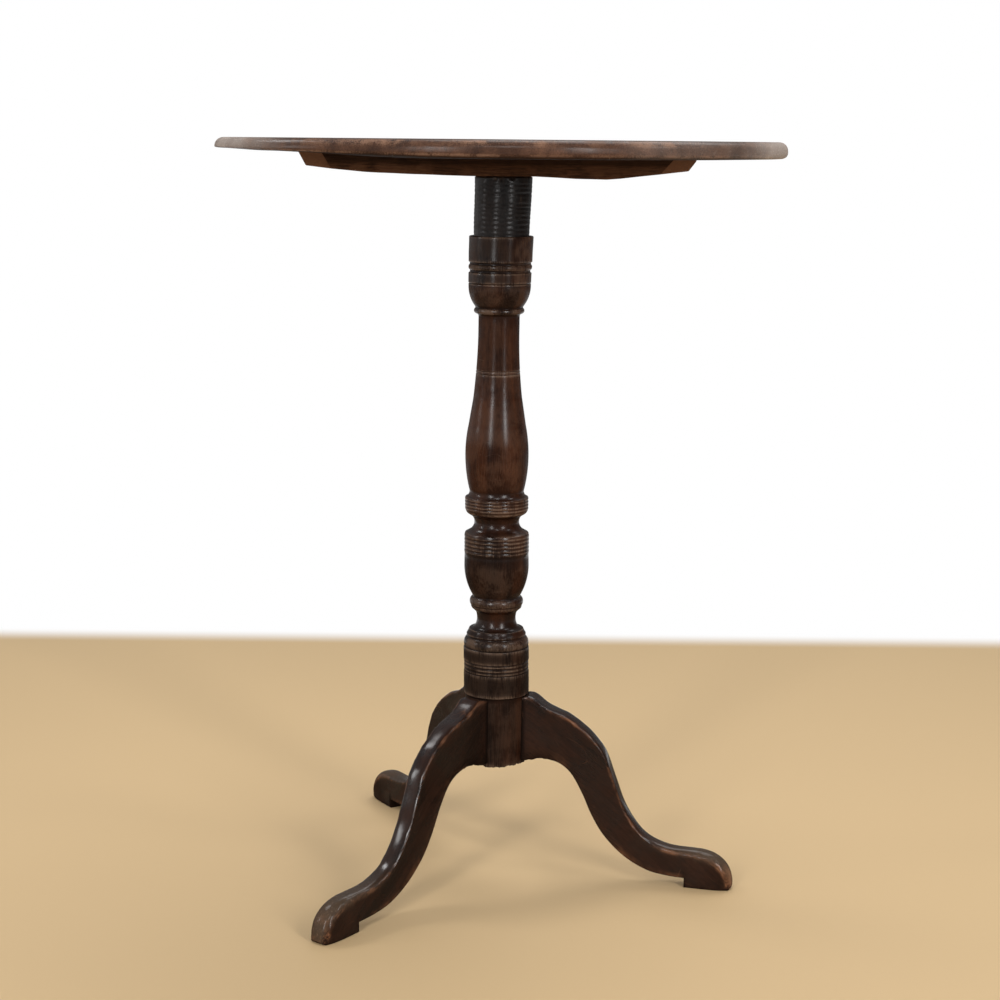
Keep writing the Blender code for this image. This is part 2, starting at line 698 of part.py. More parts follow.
def build():
    clear_scene()
    top_wood = make_material("top_wood", (0.115, 0.055, 0.032), 0.42)
    bearer_wood = make_material("bearer_wood", (0.060, 0.028, 0.014), 0.60)
    neck_wood = make_material("neck_wood", (0.020, 0.013, 0.010), 0.38)
    pillar_wood = make_material("pillar_wood", (0.085, 0.024, 0.012), 0.25)
    leg_wood = make_material("leg_wood", (0.050, 0.020, 0.013), 0.32)
    wedge_wood = make_material("wedge_wood", (0.160, 0.090, 0.050), 0.65)
    iron = make_material("screw_iron", (0.120, 0.105, 0.095), 0.55, metallic=1.0)

    boards = [make_top_board(name, left, right, top_wood) for name, left, right in board_edges()]
    bearer = make_bearer(bearer_wood)
    for number, (x, y, face) in enumerate(screw_places(), start=1):
        name = f"bearer_screw_{number}"
        make_screw(name, x, y, face, iron)
        hole = make_screw_hole(name, x, y, face)
        add_boolean(bearer, hole, "DIFFERENCE")
        for board, (_, left, right) in zip(boards, board_edges()):
            if left < x < right:
                add_boolean(board, hole, "DIFFERENCE")

    tenon_hole = turned(
        "tenon_hole_cutter",
        (
            (0, BEARER_TOP + CUT_OVERRUN),
            (TENON_RADIUS + SEAT_GAP, BEARER_TOP + CUT_OVERRUN),
            (TENON_RADIUS + SEAT_GAP, BEARER_UNDERSIDE - CUT_OVERRUN),
            (0, BEARER_UNDERSIDE - CUT_OVERRUN),
        ),
        NECK_SIDES,
    )
    add_boolean(bearer, tenon_hole, "DIFFERENCE")
    neck = turned("neck", neck_profile(), NECK_SIDES, neck_wood)
    add_boolean(neck, extruded("kerf_cutter", *wedge_outline(SEAT_GAP, CUT_OVERRUN)), "DIFFERENCE")
    make_neck_wedge(wedge_wood)

    pillar = turned("pillar", pillar_profile(), PILLAR_SIDES, pillar_wood)
    shoulder = JOINT_RADIUS + SEAT_GAP
    above = LEG_JOINT_TOP + CUT_OVERRUN
    profile = ((0, above), (shoulder, above), (shoulder, 0), (0, 0))
    shoulder_cutter = turned("shoulder_cutter", profile, PILLAR_SIDES)
    for name, bearing in LEG_BEARINGS.items():
        add_boolean(pillar, make_housing(name, bearing), "DIFFERENCE")
        make_leg(name, bearing, LEG_REACHES[name], shoulder_cutter, leg_wood)


build()
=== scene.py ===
# %% [markdown]
# A tripod table, dressed for its portrait
#
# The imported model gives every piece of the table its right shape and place, but with few facets and flat
# colours. This lesson loads it, stands finer pieces in its place and gives each of them the wood, polish
# and wear that the old table has. Lengths are in metres, +Z is up, and the viewer stands on the -Y side.

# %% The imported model
import math

import bmesh
import bpy
from mathutils import Matrix, Vector, noise


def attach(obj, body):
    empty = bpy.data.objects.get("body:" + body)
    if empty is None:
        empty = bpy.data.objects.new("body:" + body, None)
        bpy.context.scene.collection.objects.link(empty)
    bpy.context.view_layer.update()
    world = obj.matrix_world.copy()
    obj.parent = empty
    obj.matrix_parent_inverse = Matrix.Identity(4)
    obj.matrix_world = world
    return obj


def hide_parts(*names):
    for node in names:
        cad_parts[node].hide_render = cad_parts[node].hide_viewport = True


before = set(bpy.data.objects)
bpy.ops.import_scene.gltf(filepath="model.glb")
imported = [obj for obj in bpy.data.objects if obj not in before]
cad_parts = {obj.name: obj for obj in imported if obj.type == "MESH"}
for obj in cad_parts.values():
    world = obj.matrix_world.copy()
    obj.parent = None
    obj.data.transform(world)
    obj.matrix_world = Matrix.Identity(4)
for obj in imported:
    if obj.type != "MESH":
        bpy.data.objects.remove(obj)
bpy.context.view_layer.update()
print("nodes:", ", ".join(sorted(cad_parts)))

# %% [markdown]
# The camera
#
# The table is seen level with its top, so the round top shows as a thin, slightly tilted bar and the feet
# are seen from above. A long lens from about two metres gives that flat, quiet perspective. The small roll
# stands for the slight lean of the old table, whose pieces are modelled upright.

# %% Camera
CAMERA_PLACE = Vector((0.0019, -1.9314, 0.7203))
CAMERA_PITCH = math.radians(10.16)
CAMERA_ROLL = math.radians(0.55)
CAMERA_LENS, SENSOR_WIDTH = 72.8, 36

camera = bpy.data.objects.new("portrait_camera", bpy.data.cameras.new("portrait_camera"))
bpy.context.scene.collection.objects.link(camera)
camera.data.sensor_width = SENSOR_WIDTH
camera.data.lens = CAMERA_LENS
camera.matrix_world = (
    Matrix.Translation(CAMERA_PLACE)
    @ Matrix.Rotation(math.pi / 2 - CAMERA_PITCH, 4, "X")
    @ Matrix.Rotation(CAMERA_ROLL, 4, "Z")
)
bpy.context.scene.camera = camera
bpy.context.scene.view_settings.view_transform = "Standard"
print("camera at", tuple(round(value, 3) for value in CAMERA_PLACE))

# %% [markdown]
# Small helpers for shader nodes
#
# A material is a tree of nodes. Written out in full, each node takes four or five lines, so a few helpers
# keep the recipes readable. The first adds any node with its settings and links; the others stand for the
# nodes that the recipes use most, and the last makes an empty node group.

# %% Node helpers
def add_node(tree, kind, inputs=None, **settings):
    node = tree.nodes.new(kind)
    for name, value in settings.items():
        setattr(node, name, value)
    for name, value in (inputs or {}).items():
        if isinstance(value, bpy.types.NodeSocket):
            tree.links.new(value, node.inputs[name])
        else:
            node.inputs[name].default_value = value
    return node


def maths(tree, operation, first, second=0.0, third=0.0, clamp=False):
    node = add_node(tree, "ShaderNodeMath", {0: first, 1: second, 2: third}, operation=operation)
    node.use_clamp = clamp
    return node.outputs[0]


def stepped(tree, value, low, high, to_low=0.0, to_high=1.0):
    """Smoothly maps a value between two levels onto another range."""
    node = add_node(
        tree, "ShaderNodeMapRange",
        {"Value": value, "From Min": low, "From Max": high, "To Min": to_low, "To Max": to_high},
        interpolation_type="SMOOTHSTEP",
    )
    return node.outputs["Result"]


def mixed(tree, share, first, second, blend="MIX"):
    """Mixes two colours; each may be a socket or three numbers."""
    node = add_node(tree, "ShaderNodeMix", data_type="RGBA", blend_type=blend)
    for socket, value in ((node.inputs[0], share), (node.inputs[6], first), (node.inputs[7], second)):
        if isinstance(value, bpy.types.NodeSocket):
            tree.links.new(value, socket)
        else:
            socket.default_value = value if isinstance(value, float) else (*value, 1.0)
    return node.outputs[2]


def noisy(tree, vector, scale, detail, roughness=0.5, distortion=0.0):
    node = add_node(tree, "ShaderNodeTexNoise", {
        "Vector": vector, "Scale": scale, "Detail": detail, "Roughness": roughness, "Distortion": distortion})
    return node.outputs[0]


def mask(tree, name):
    """One of the masks that are stored on the meshes."""
    return add_node(tree, "ShaderNodeAttribute", attribute_name=name).outputs["Fac"]


def new_group(name, inputs, outputs):
    """An empty shader node group with named sockets, and its two end nodes."""
    group = bpy.data.node_groups.new(name, "ShaderNodeTree")
    for socket_name, kind, value in inputs:
        socket = group.interface.new_socket(socket_name, in_out="INPUT", socket_type=kind)
        if value is not None:
            socket.default_value = value
    for socket_name, kind in outputs:
        group.interface.new_socket(socket_name, in_out="OUTPUT", socket_type=kind)
    return group, group.nodes.new("NodeGroupInput"), group.nodes.new("NodeGroupOutput")


print("helpers ready")

# %% [markdown]
# Floor and light
#
# The table stands on a plain pale floor that fades into a white backdrop. A dark cloth seems to lie on the
# floor before the viewer, which keeps its glare out of the dark polished wood. Two tall strip lamps behind
# the viewer, one to the left and one to the right, draw the pair of upright streaks on the polished pillar.
# The rest of the light comes from the world, which is bright behind and above the table and dim behind the
# viewer, so that the edges of the round pieces catch a pale sheen and their middles stay dark.

# %% Floor
FLOOR_COLOUR = (0.690, 0.482, 0.252)
FLOOR_SHINE = 0.22  # share of the floor's light that polished surfaces mirror
FLOOR_FLAG = (0.75, 0.35, 0.12)  # in front of the picture: full from here, starts here, share of light left
FLOOR_FADE = (0.90, 0.98)  # behind the table, where the floor passes into the white backdrop
FLOOR_EDGE = (1.6, 2.4)  # the same on every side
FLOOR_RADIUS, FLOOR_ROUGHNESS = 3.0, 0.75

bm = bmesh.new()
bmesh.ops.create_circle(bm, cap_ends=True, segments=96, radius=FLOOR_RADIUS)
floor_mesh = bpy.data.meshes.new("studio_floor")
bm.to_mesh(floor_mesh)
bm.free()
studio_floor = bpy.data.objects.new("studio_floor", floor_mesh)
bpy.context.scene.collection.objects.link(studio_floor)

floor_finish = bpy.data.materials.new("studio_floor_finish")
floor_finish.use_nodes = True
tree = floor_finish.node_tree
tree.nodes.clear()
place = add_node(tree, "ShaderNodeTexCoord").outputs["Object"]
away = add_node(tree, "ShaderNodeVectorMath", {0: place}, operation="LENGTH").outputs["Value"]
behind = add_node(tree, "ShaderNodeSeparateXYZ", {0: place}).outputs["Y"]
fade = maths(tree, "MAXIMUM", stepped(tree, away, *FLOOR_EDGE), stepped(tree, behind, *FLOOR_FADE))
flagged = stepped(tree, behind, -FLOOR_FLAG[0], -FLOOR_FLAG[1], FLOOR_FLAG[2], 1.0)
light_path = add_node(tree, "ShaderNodeLightPath")
mirrored = stepped(tree, light_path.outputs["Is Glossy Ray"], 0.0, 1.0, 1.0, FLOOR_SHINE)
dimmed = maths(tree, "MULTIPLY", flagged, mirrored)
shade = maths(tree, "MAXIMUM", light_path.outputs["Is Camera Ray"], dimmed)
tint = mixed(tree, shade, (0, 0, 0), FLOOR_COLOUR)
matt = add_node(tree, "ShaderNodeBsdfPrincipled", {"Base Color": tint, "Roughness": FLOOR_ROUGHNESS})
white = add_node(tree, "ShaderNodeEmission", {"Color": (1, 1, 1, 1), "Strength": 1.0})
blend = add_node(tree, "ShaderNodeMixShader", {0: fade, 1: matt.outputs[0], 2: white.outputs[0]})
add_node(tree, "ShaderNodeOutputMaterial", {"Surface": blend.outputs[0]})
floor_mesh.materials.append(floor_finish)
print("floor fades to white between", FLOOR_FADE, "m from the table")

# %% World
WORLD_BACK = 0.95
WORLD_ABOVE = 0.30
WORLD_FRONT = 0.04
WORLD_SHINE = 0.18  # share of the light from behind that polished surfaces mirror
WORLD_LEFT = 0.40  # a pale wall far to the left, seen only in polished surfaces
WORLD_LEFT_LOW = 0.2  # share of that wall's light near the ground
WORLD_TINT = (0.84, 0.92, 1.0)  # colour of the light from above
# Between which directions, from -1 to 1 along an axis, each light grows
BACK_SPAN, ABOVE_SPAN = (0.10, 0.95), (0.35, 0.75)
LEFT_SPAN, LEFT_HEIGHT_SPAN = (-0.95, -0.45), (-0.28, -0.02)

world = bpy.data.worlds.new("studio")
bpy.context.scene.world = world
world.use_nodes = True
tree = world.node_tree
tree.nodes.clear()
direction = add_node(tree, "ShaderNodeTexCoord").outputs["Generated"]
parts = add_node(tree, "ShaderNodeSeparateXYZ", {0: direction})
level = stepped(tree, parts.outputs["Y"], *BACK_SPAN, WORLD_FRONT, WORLD_BACK)
above = stepped(tree, parts.outputs["Z"], *ABOVE_SPAN)
light_path = add_node(tree, "ShaderNodeLightPath")
mirrored = light_path.outputs["Is Glossy Ray"]
wall = stepped(tree, parts.outputs["X"], *LEFT_SPAN, WORLD_LEFT, 0.0)
low_down = stepped(tree, parts.outputs["Z"], *LEFT_HEIGHT_SPAN, WORLD_LEFT_LOW, 1.0)
wall = maths(tree, "MULTIPLY", maths(tree, "MULTIPLY", wall, low_down), mirrored)
level = maths(tree, "MULTIPLY_ADD", level, stepped(tree, mirrored, 0.0, 1.0, 1.0, WORLD_SHINE), wall)
level = maths(tree, "ADD", level, maths(tree, "MULTIPLY", maths(tree, "SUBTRACT", WORLD_ABOVE, level), above))
seen = maths(tree, "MAXIMUM", light_path.outputs["Is Camera Ray"], light_path.outputs["Is Transmission Ray"])
unseen = maths(tree, "SUBTRACT", 1.0, seen)
strength = maths(tree, "ADD", maths(tree, "MULTIPLY", level, unseen), seen)
tint = mixed(tree, maths(tree, "MULTIPLY", above, unseen), (1, 1, 1), WORLD_TINT)
background = add_node(tree, "ShaderNodeBackground", {"Color": tint, "Strength": strength})
add_node(tree, "ShaderNodeOutputWorld", {"Surface": background.outputs[0]})
print("world: back", WORLD_BACK, "above", WORLD_ABOVE, "front", WORLD_FRONT)

# %% Lamps
LAMP_TARGET = Vector((0, 0, 0.40))
LAMPS = (  # name, bearing in degrees, distance, height, width, how tall, watts
    ("left_strip", -25, 2.7, 1.40, 0.42, 1.2, 26),
    ("left_sill", -25, 2.7, 0.575, 0.34, 0.45, 4),
    ("right_strip", 33, 2.7, 1.40, 0.42, 1.2, 29),
    ("right_sill", 33, 2.7, 0.575, 0.34, 0.45, 4.5),
    ("overhead_softbox", 150, 0.9, 2.3, 1.6, 1.6, 22),
    ("high_left", -116, 1.3, 1.75, 0.40, 0.40, 5),
    ("side_left", -82, 1.9, 0.95, 0.22, 0.50, 3.5),
    ("high_middle", 3, 2.0, 2.1, 0.45, 0.45, 7),
    ("high_right", 68, 2.0, 2.1, 0.45, 0.45, 5),
)


def add_lamp(name, bearing, distance, height, width, tall, power):
    """A soft rectangular lamp; bearing 0 is behind the viewer and positive bearings are to the right."""
    lamp = bpy.data.lights.new(name, "AREA")
    lamp.shape = "RECTANGLE"
    lamp.size, lamp.size_y, lamp.energy = width, tall, power
    stand = bpy.data.objects.new(name, lamp)
    angle = math.radians(bearing)
    stand.location = (math.sin(angle) * distance, -math.cos(angle) * distance, height)
    stand.rotation_euler = (LAMP_TARGET - stand.location).to_track_quat("-Z", "Y").to_euler()
    bpy.context.scene.collection.objects.link(stand)
    print(name, "bearing", bearing, "power", power)


for lamp in LAMPS:
    add_lamp(*lamp)

# %% [markdown]
# Wood figure, as one node group
#
# Every piece is oak or a close country wood, so all of them share one recipe for its figure: broad soft
# bands of light and dark, fine fibres, and short dark pores. All three are noise stretched along the grain.
# The Stretch input says which way the grain runs and how large the pattern is, so one group serves the
# boards, the turned pillar and the sawn legs.

# %% Node group: timber figure
timber_figure, ends, out = new_group(
    "timber_figure",
    (("Place", "NodeSocketVector", None), ("Stretch", "NodeSocketVector", (1, 1, 1)),
     ("Fibre Stretch", "NodeSocketVector", (1, 1, 1))),
    (("Figure", "NodeSocketFloat"), ("Fibre", "NodeSocketFloat"), ("Pores", "NodeSocketFloat")),
)


def stretched(tree, vector, stretch):
    return add_node(tree, "ShaderNodeVectorMath", {0: vector, 1: stretch}, operation="MULTIPLY").outputs[0]


broad = stretched(timber_figure, ends.outputs["Place"], ends.outputs["Stretch"])
fine = stretched(timber_figure, ends.outputs["Place"], ends.outputs["Fibre Stretch"])
bands = noisy(timber_figure, broad, 1.0, 5.0, 0.55, 0.7)
fibres = noisy(timber_figure, fine, 1.0, 6.0, 0.7)
pore_noise = noisy(timber_figure, fine, 1.9, 1.0)
timber_figure.links.new(stepped(timber_figure, bands, 0.32, 0.68), out.inputs["Figure"])
timber_figure.links.new(stepped(timber_figure, fibres, 0.30, 0.70), out.inputs["Fibre"])
timber_figure.links.new(stepped(timber_figure, pore_noise, 0.60, 0.70), out.inputs["Pores"])
print("group", timber_figure.name)

# %% [markdown]
# Marks of handling, as one node group
#
# Two centuries of use leave the same traces on every piece: cloudy patches where polish has built up or
# worn thin, thin stray scratches, and small dents. The scratches are contour lines of a stretched noise,
# kept only where a second noise allows them, which gives long thin lines at uneven distances.

# %% Node group: handling marks
SCRATCH_WIDTH = 0.0045  # in the noise's own measure
SCRATCH_PATCH_SCALE, SPECK_SCALE = 45.0, 520.0

handling_marks, ends, out = new_group(
    "handling_marks",
    (("Place", "NodeSocketVector", None), ("Cloud Size", "NodeSocketFloat", 30.0),
     ("Scratch Stretch", "NodeSocketVector", (60, 60, 14)), ("Dent Size", "NodeSocketFloat", 120.0)),
    (("Clouds", "NodeSocketFloat"), ("Scratches", "NodeSocketFloat"), ("Dents", "NodeSocketFloat"),
     ("Fine Specks", "NodeSocketFloat")),
)
where = ends.outputs["Place"]
clouds = noisy(handling_marks, where, ends.outputs["Cloud Size"], 4.0, 0.6)
handling_marks.links.new(stepped(handling_marks, clouds, 0.35, 0.65), out.inputs["Clouds"])
streaks = stretched(handling_marks, where, ends.outputs["Scratch Stretch"])
lines = noisy(handling_marks, streaks, 1.0, 0.5, distortion=0.4)
near_contour = maths(handling_marks, "ABSOLUTE", maths(handling_marks, "SUBTRACT", lines, 0.5))
thin = stepped(handling_marks, near_contour, 0.0, SCRATCH_WIDTH, 1.0, 0.0)
sparse = noisy(handling_marks, where, SCRATCH_PATCH_SCALE, 1.0)
allowed = stepped(handling_marks, sparse, 0.55, 0.66)
handling_marks.links.new(maths(handling_marks, "MULTIPLY", thin, allowed), out.inputs["Scratches"])
dent_size = ends.outputs["Dent Size"]
cells = add_node(handling_marks, "ShaderNodeTexVoronoi", {"Vector": where, "Scale": dent_size})
cell_colour = add_node(handling_marks, "ShaderNodeSeparateXYZ", {0: cells.outputs["Color"]})
picked = stepped(handling_marks, cell_colour.outputs["X"], 0.80, 0.86)
pit = stepped(handling_marks, cells.outputs["Distance"], 0.10, 0.32, 1.0, 0.0)
handling_marks.links.new(maths(handling_marks, "MULTIPLY", picked, pit), out.inputs["Dents"])
specks = noisy(handling_marks, where, SPECK_SCALE, 3.0, 0.7)
handling_marks.links.new(stepped(handling_marks, specks, 0.56, 0.68), out.inputs["Fine Specks"])
print("group", handling_marks.name)

# %% [markdown]
# One recipe for a wood finish
#
# Each finish below is the same kind of layering, in its own colours: a dark and a light tone mixed by the
# figure, darker pores, a warmer worn tone on the ridges that hands and cloths rub, which in a few places is
# a painted highlight instead, dark old polish in the hollows, which on the bearer is a painted shadow, and a
# light touch of dust where the piece has some, which on the top's rim is a painted sheen instead. The masks
# named ridge, hollow, patina, matt and dust_and_sheen_mask are attributes of the meshes, so that wear, grime,
# painted light and dullness follow each piece's own form.

# %% Finish builder
FIBRE_DARKENS, FIBRE_LIGHTENS = 0.28, 0.18
PORE_SHARE, HOLLOW_SHARE, SCRATCH_SHARE = 0.55, 0.9, 0.22  # how far each of them covers the colour below
DUST_AND_SHEEN_EVEN, DUST_AND_SHEEN_SPECKLED = 0.55, 0.45
POLISH_LEFT = 0.55  # share of the polish where it has worn thinnest
SCRATCH_DEPTH = 0.00005
# How much each mask adds to the roughness
CLOUD_ROUGHNESS, FIBRE_ROUGHNESS, HOLLOW_ROUGHNESS = 0.16, 0.08, 0.25
MATT_ROUGHNESS, DUST_AND_SHEEN_ROUGHNESS = 0.15, 0.6


def wood_finish(name, dark, light, worn_and_highlight, grime_and_shade, stretch, fibre, *, place="object", roughness=0.35,
                polish=0.4, polish_roughness=0.15, wear=0.8, dust_and_sheen=0.0, dust_and_sheen_colour=(0.25, 0.19, 0.135),
                cloud=30.0, scratch=(60, 60, 14), fibre_depth=0.00010, dent_depth=0.0003, streaky=0.6,
                level=0.3, coat_index=1.35, grain=1.0, steady=False):
    material = bpy.data.materials.new(name)
    material.use_nodes = True
    tree = material.node_tree
    shader = tree.nodes["Principled BSDF"]
    if place == "object":
        where = add_node(tree, "ShaderNodeTexCoord").outputs["Object"]
    else:
        where = add_node(tree, "ShaderNodeAttribute", attribute_name=place).outputs["Vector"]
    figure = add_node(tree, "ShaderNodeGroup", node_tree=timber_figure)
    figure.inputs["Stretch"].default_value = stretch
    figure.inputs["Fibre Stretch"].default_value = fibre
    marks = add_node(tree, "ShaderNodeGroup", node_tree=handling_marks)
    marks.inputs["Cloud Size"].default_value = cloud
    marks.inputs["Scratch Stretch"].default_value = scratch
    tree.links.new(where, figure.inputs["Place"])
    tree.links.new(where, marks.inputs["Place"])
    ridge, hollow, patina, matt = (mask(tree, name) for name in ("ridge", "hollow", "patina", "matt"))
    clouds, fibres = marks.outputs["Clouds"], figure.outputs["Fibre"]

    tone = maths(tree, "MULTIPLY_ADD", figure.outputs["Figure"], streaky,
                 maths(tree, "MULTIPLY", clouds, 1 - streaky))
    colour = mixed(tree, tone, dark, light)
    fibre_tone = stepped(tree, fibres, 0.0, 1.0, 1 - FIBRE_DARKENS * grain, 1 + FIBRE_LIGHTENS * grain)
    colour = mixed(tree, 1.0, colour, add_node(tree, "ShaderNodeCombineColor", {
        0: fibre_tone, 1: fibre_tone, 2: fibre_tone}).outputs[0], "MULTIPLY")
    colour = mixed(tree, maths(tree, "MULTIPLY", figure.outputs["Pores"], PORE_SHARE * grain), colour, grime_and_shade)
    colour = mixed(tree, patina, colour, grime_and_shade)
    broken = maths(tree, "MULTIPLY_ADD", clouds, 0.5, maths(tree, "MULTIPLY", fibres, 0.5))
    broken = stepped(tree, broken, 0.2, 0.75)
    if steady:
        broken = maths(tree, "MAXIMUM", broken, stepped(tree, ridge, 0.60, 0.90))
    rubbed = maths(tree, "MULTIPLY", maths(tree, "MULTIPLY", ridge, wear), broken, clamp=True)
    colour = mixed(tree, rubbed, colour, worn_and_highlight)
    colour = mixed(tree, maths(tree, "MULTIPLY", hollow, HOLLOW_SHARE, clamp=True), colour, grime_and_shade)
    colour = mixed(tree, maths(tree, "MULTIPLY", marks.outputs["Scratches"], SCRATCH_SHARE), colour, worn_and_highlight)
    if dust_and_sheen:
        amount = maths(tree, "MULTIPLY", maths(tree, "MULTIPLY", mask(tree, "dust_and_sheen_mask"), dust_and_sheen),
                       maths(tree, "MULTIPLY_ADD", marks.outputs["Fine Specks"], DUST_AND_SHEEN_SPECKLED, DUST_AND_SHEEN_EVEN))
        colour = mixed(tree, amount, colour, dust_and_sheen_colour)
    tree.links.new(colour, shader.inputs["Base Color"])

    rough = maths(tree, "MULTIPLY_ADD", clouds, CLOUD_ROUGHNESS, roughness - CLOUD_ROUGHNESS / 2)
    rough = maths(tree, "MULTIPLY_ADD", fibres, FIBRE_ROUGHNESS, rough)
    rough = maths(tree, "MULTIPLY_ADD", hollow, HOLLOW_ROUGHNESS, rough)
    rough = maths(tree, "MULTIPLY_ADD", matt, MATT_ROUGHNESS, rough, clamp=True)
    if dust_and_sheen:
        rough = maths(tree, "MULTIPLY_ADD", amount, DUST_AND_SHEEN_ROUGHNESS, rough, clamp=True)
    tree.links.new(rough, shader.inputs["Roughness"])
    shader.inputs["Coat Roughness"].default_value = polish_roughness
    shader.inputs["Coat IOR"].default_value = coat_index
    shader.inputs["IOR"].default_value = 1.35
    shader.inputs["Specular IOR Level"].default_value = level
    coat = maths(tree, "MULTIPLY", stepped(tree, clouds, 0.0, 1.0, polish, polish * POLISH_LEFT),
                 maths(tree, "SUBTRACT", 1.0, maths(tree, "MAXIMUM", hollow, matt)))
    if dust_and_sheen:
        coat = maths(tree, "MULTIPLY", coat, maths(tree, "SUBTRACT", 1.0, amount), clamp=True)
    tree.links.new(coat, shader.inputs["Coat Weight"])

    height = maths(tree, "MULTIPLY", maths(tree, "SUBTRACT", fibres, figure.outputs["Pores"]), fibre_depth)
    height = maths(tree, "MULTIPLY_ADD", marks.outputs["Dents"], -dent_depth, height)
    height = maths(tree, "MULTIPLY_ADD", marks.outputs["Scratches"], -SCRATCH_DEPTH, height)
    bump = add_node(tree, "ShaderNodeBump", {"Height": height, "Strength": 1.0, "Distance": 1.0})
    tree.links.new(bump.outputs[0], shader.inputs["Normal"])
    return material


print("finish builder ready")

# %% [markdown]
# The finishes
#
# The top is a waxed mid brown, worn lighter along its rim, and its pale dust colour is a painted sheen on the
# rim's ends. The bearer below it never saw polish: it is dull and dark, with a painted shadow under the top
# and painted light on its end facets. The neck is almost black. The pillar is a polished dark red-brown, and
# the legs are darker still, with orange-brown arrises and dusty toes. Each call gives the dark, light, worn
# (also used for painted highlights) and grimy (also used for painted shade) colours first, and then how the
# figure and the fibres are stretched.

# %% Finishes
top_finish = wood_finish(
    "top_wood", (0.045, 0.020, 0.012), (0.140, 0.066, 0.038), (0.36, 0.20, 0.125), (0.030, 0.015, 0.010),
    (42, 9, 42), (900, 60, 900), roughness=0.42, polish=0.60, polish_roughness=0.26, wear=0.60, cloud=55,
    dust_and_sheen=1.3, dust_and_sheen_colour=(0.51, 0.43, 0.375), scratch=(70, 18, 70), streaky=0.45, level=0.12,
)
bearer_finish = wood_finish(
    "bearer_wood", (0.051, 0.0205, 0.0085), (0.108, 0.041, 0.0160), (0.23, 0.108, 0.056),
    (0.013, 0.006, 0.004), (8, 50, 50), (60, 900, 900), roughness=0.66, polish=0.0, wear=0.75, cloud=26,
    scratch=(14, 70, 70), level=0.15, steady=True,
)
neck_finish = wood_finish(
    "neck_wood", (0.0055, 0.0040, 0.0035), (0.019, 0.0115, 0.009), (0.18, 0.11, 0.07),
    (0.003, 0.0022, 0.002), (60, 60, 10), (900, 900, 70), roughness=0.42, polish=0.75, polish_roughness=0.25,
    wear=0.5, cloud=60,
)
pillar_finish = wood_finish(
    "pillar_wood", (0.021, 0.0080, 0.0046), (0.070, 0.0220, 0.0084), (0.26, 0.172, 0.122),
    (0.006, 0.0034, 0.0024), (75, 75, 6), (1100, 1100, 60), roughness=0.36, polish=0.90,
    polish_roughness=0.23, wear=0.90, cloud=35, scratch=(40, 40, 160), level=0.06, coat_index=1.42,
    grain=0.5, steady=True,
)
leg_finish = wood_finish(
    "leg_wood", (0.0102, 0.0050, 0.0033), (0.034, 0.0138, 0.0080), (0.26, 0.112, 0.055),
    (0.004, 0.0026, 0.002), (7, 60, 45), (60, 900, 800), place="leg_place", roughness=0.38, polish=0.95,
    polish_roughness=0.17, wear=0.9, dust_and_sheen=0.45, dust_and_sheen_colour=(0.27, 0.185, 0.12), cloud=40,
    scratch=(30, 60, 50), level=0.06, coat_index=1.50, grain=0.6,
)
wedge_finish = wood_finish(
    "wedge_wood", (0.09, 0.05, 0.028), (0.19, 0.115, 0.065), (0.25, 0.16, 0.10), (0.04, 0.022, 0.013),
    (60, 60, 12), (900, 900, 60), roughness=0.70, polish=0.0, cloud=80,
)
print("six finishes")

# %% [markdown]
# Iron
#
# The screws under the top were never meant to be seen. They are dull iron, darker where rust has crept over
# them, so one metal finish mixes bright worn iron with brown rust by a cloudy mask.

# %% Screw iron
screw_finish = bpy.data.materials.new("screw_iron")
screw_finish.use_nodes = True
tree = screw_finish.node_tree
shader = tree.nodes["Principled BSDF"]
marks = add_node(tree, "ShaderNodeGroup", node_tree=handling_marks)
marks.inputs["Cloud Size"].default_value = 420
tree.links.new(add_node(tree, "ShaderNodeTexCoord").outputs["Object"], marks.inputs["Place"])
clouds = marks.outputs["Clouds"]
tree.links.new(mixed(tree, clouds, (0.16, 0.14, 0.125), (0.075, 0.036, 0.020)), shader.inputs["Base Color"])
tree.links.new(stepped(tree, clouds, 0.0, 1.0, 0.42, 0.85), shader.inputs["Roughness"])
tree.links.new(stepped(tree, clouds, 0.3, 0.9, 1.0, 0.15), shader.inputs["Metallic"])
bump = add_node(tree, "ShaderNodeBump", {"Height": maths(tree, "MULTIPLY", clouds, 0.00006), "Distance": 1.0})
tree.links.new(bump.outputs[0], shader.inputs["Normal"])
print("finish", screw_finish.name)

# %% [markdown]
# Marking ridges and hollows
#
# Wear needs to know where the edges are. For each corner of a mesh, the edges that leave it point below its
# surface on a ridge and above it in a hollow. That number, softened over the neighbours, is stored on the
# mesh as the two masks that the finishes read.

# %% Ridge and hollow masks
def paint_layers(bm, *names):
    """The masks of these names, each added where the mesh has none yet."""
    floats = bm.verts.layers.float
    return [floats.get(name) or floats.new(name) for name in names]


def mark_edges(bm, sharp):
    """Fills the ridge and hollow masks; sharp is how strong a bend fills them wholly."""
    ridge, hollow = paint_layers(bm, "ridge", "hollow")
    bm.normal_update()
    neighbours = {vert: [edge.other_vert(vert) for edge in vert.link_edges] for vert in bm.verts}
    bend = {}
    for vert, others in neighbours.items():
        lifts = [(other.co - vert.co).normalized().dot(vert.normal) for other in others]
        bend[vert] = sum(lifts) / len(lifts)
    for vert, others in neighbours.items():
        lift = 0.5 * bend[vert] + 0.5 * sum(bend[other] for other in others) / len(others)
        vert[ridge] = min(1.0, max(0.0, -lift / sharp))
        vert[hollow] = min(1.0, max(0.0, lift / sharp))


def slice_at(bm, place, normal, cap=False):
    """Cuts the mesh along a plane; with cap on, what lies beyond it goes and the cut is closed."""
    bmesh.ops.bisect_plane(bm, geom=bm.verts[:] + bm.edges[:] + bm.faces[:], plane_co=place, plane_no=normal,
                           clear_outer=cap)
    if cap:
        bmesh.ops.holes_fill(bm, edges=[edge for edge in bm.edges if edge.is_boundary], sides=0)


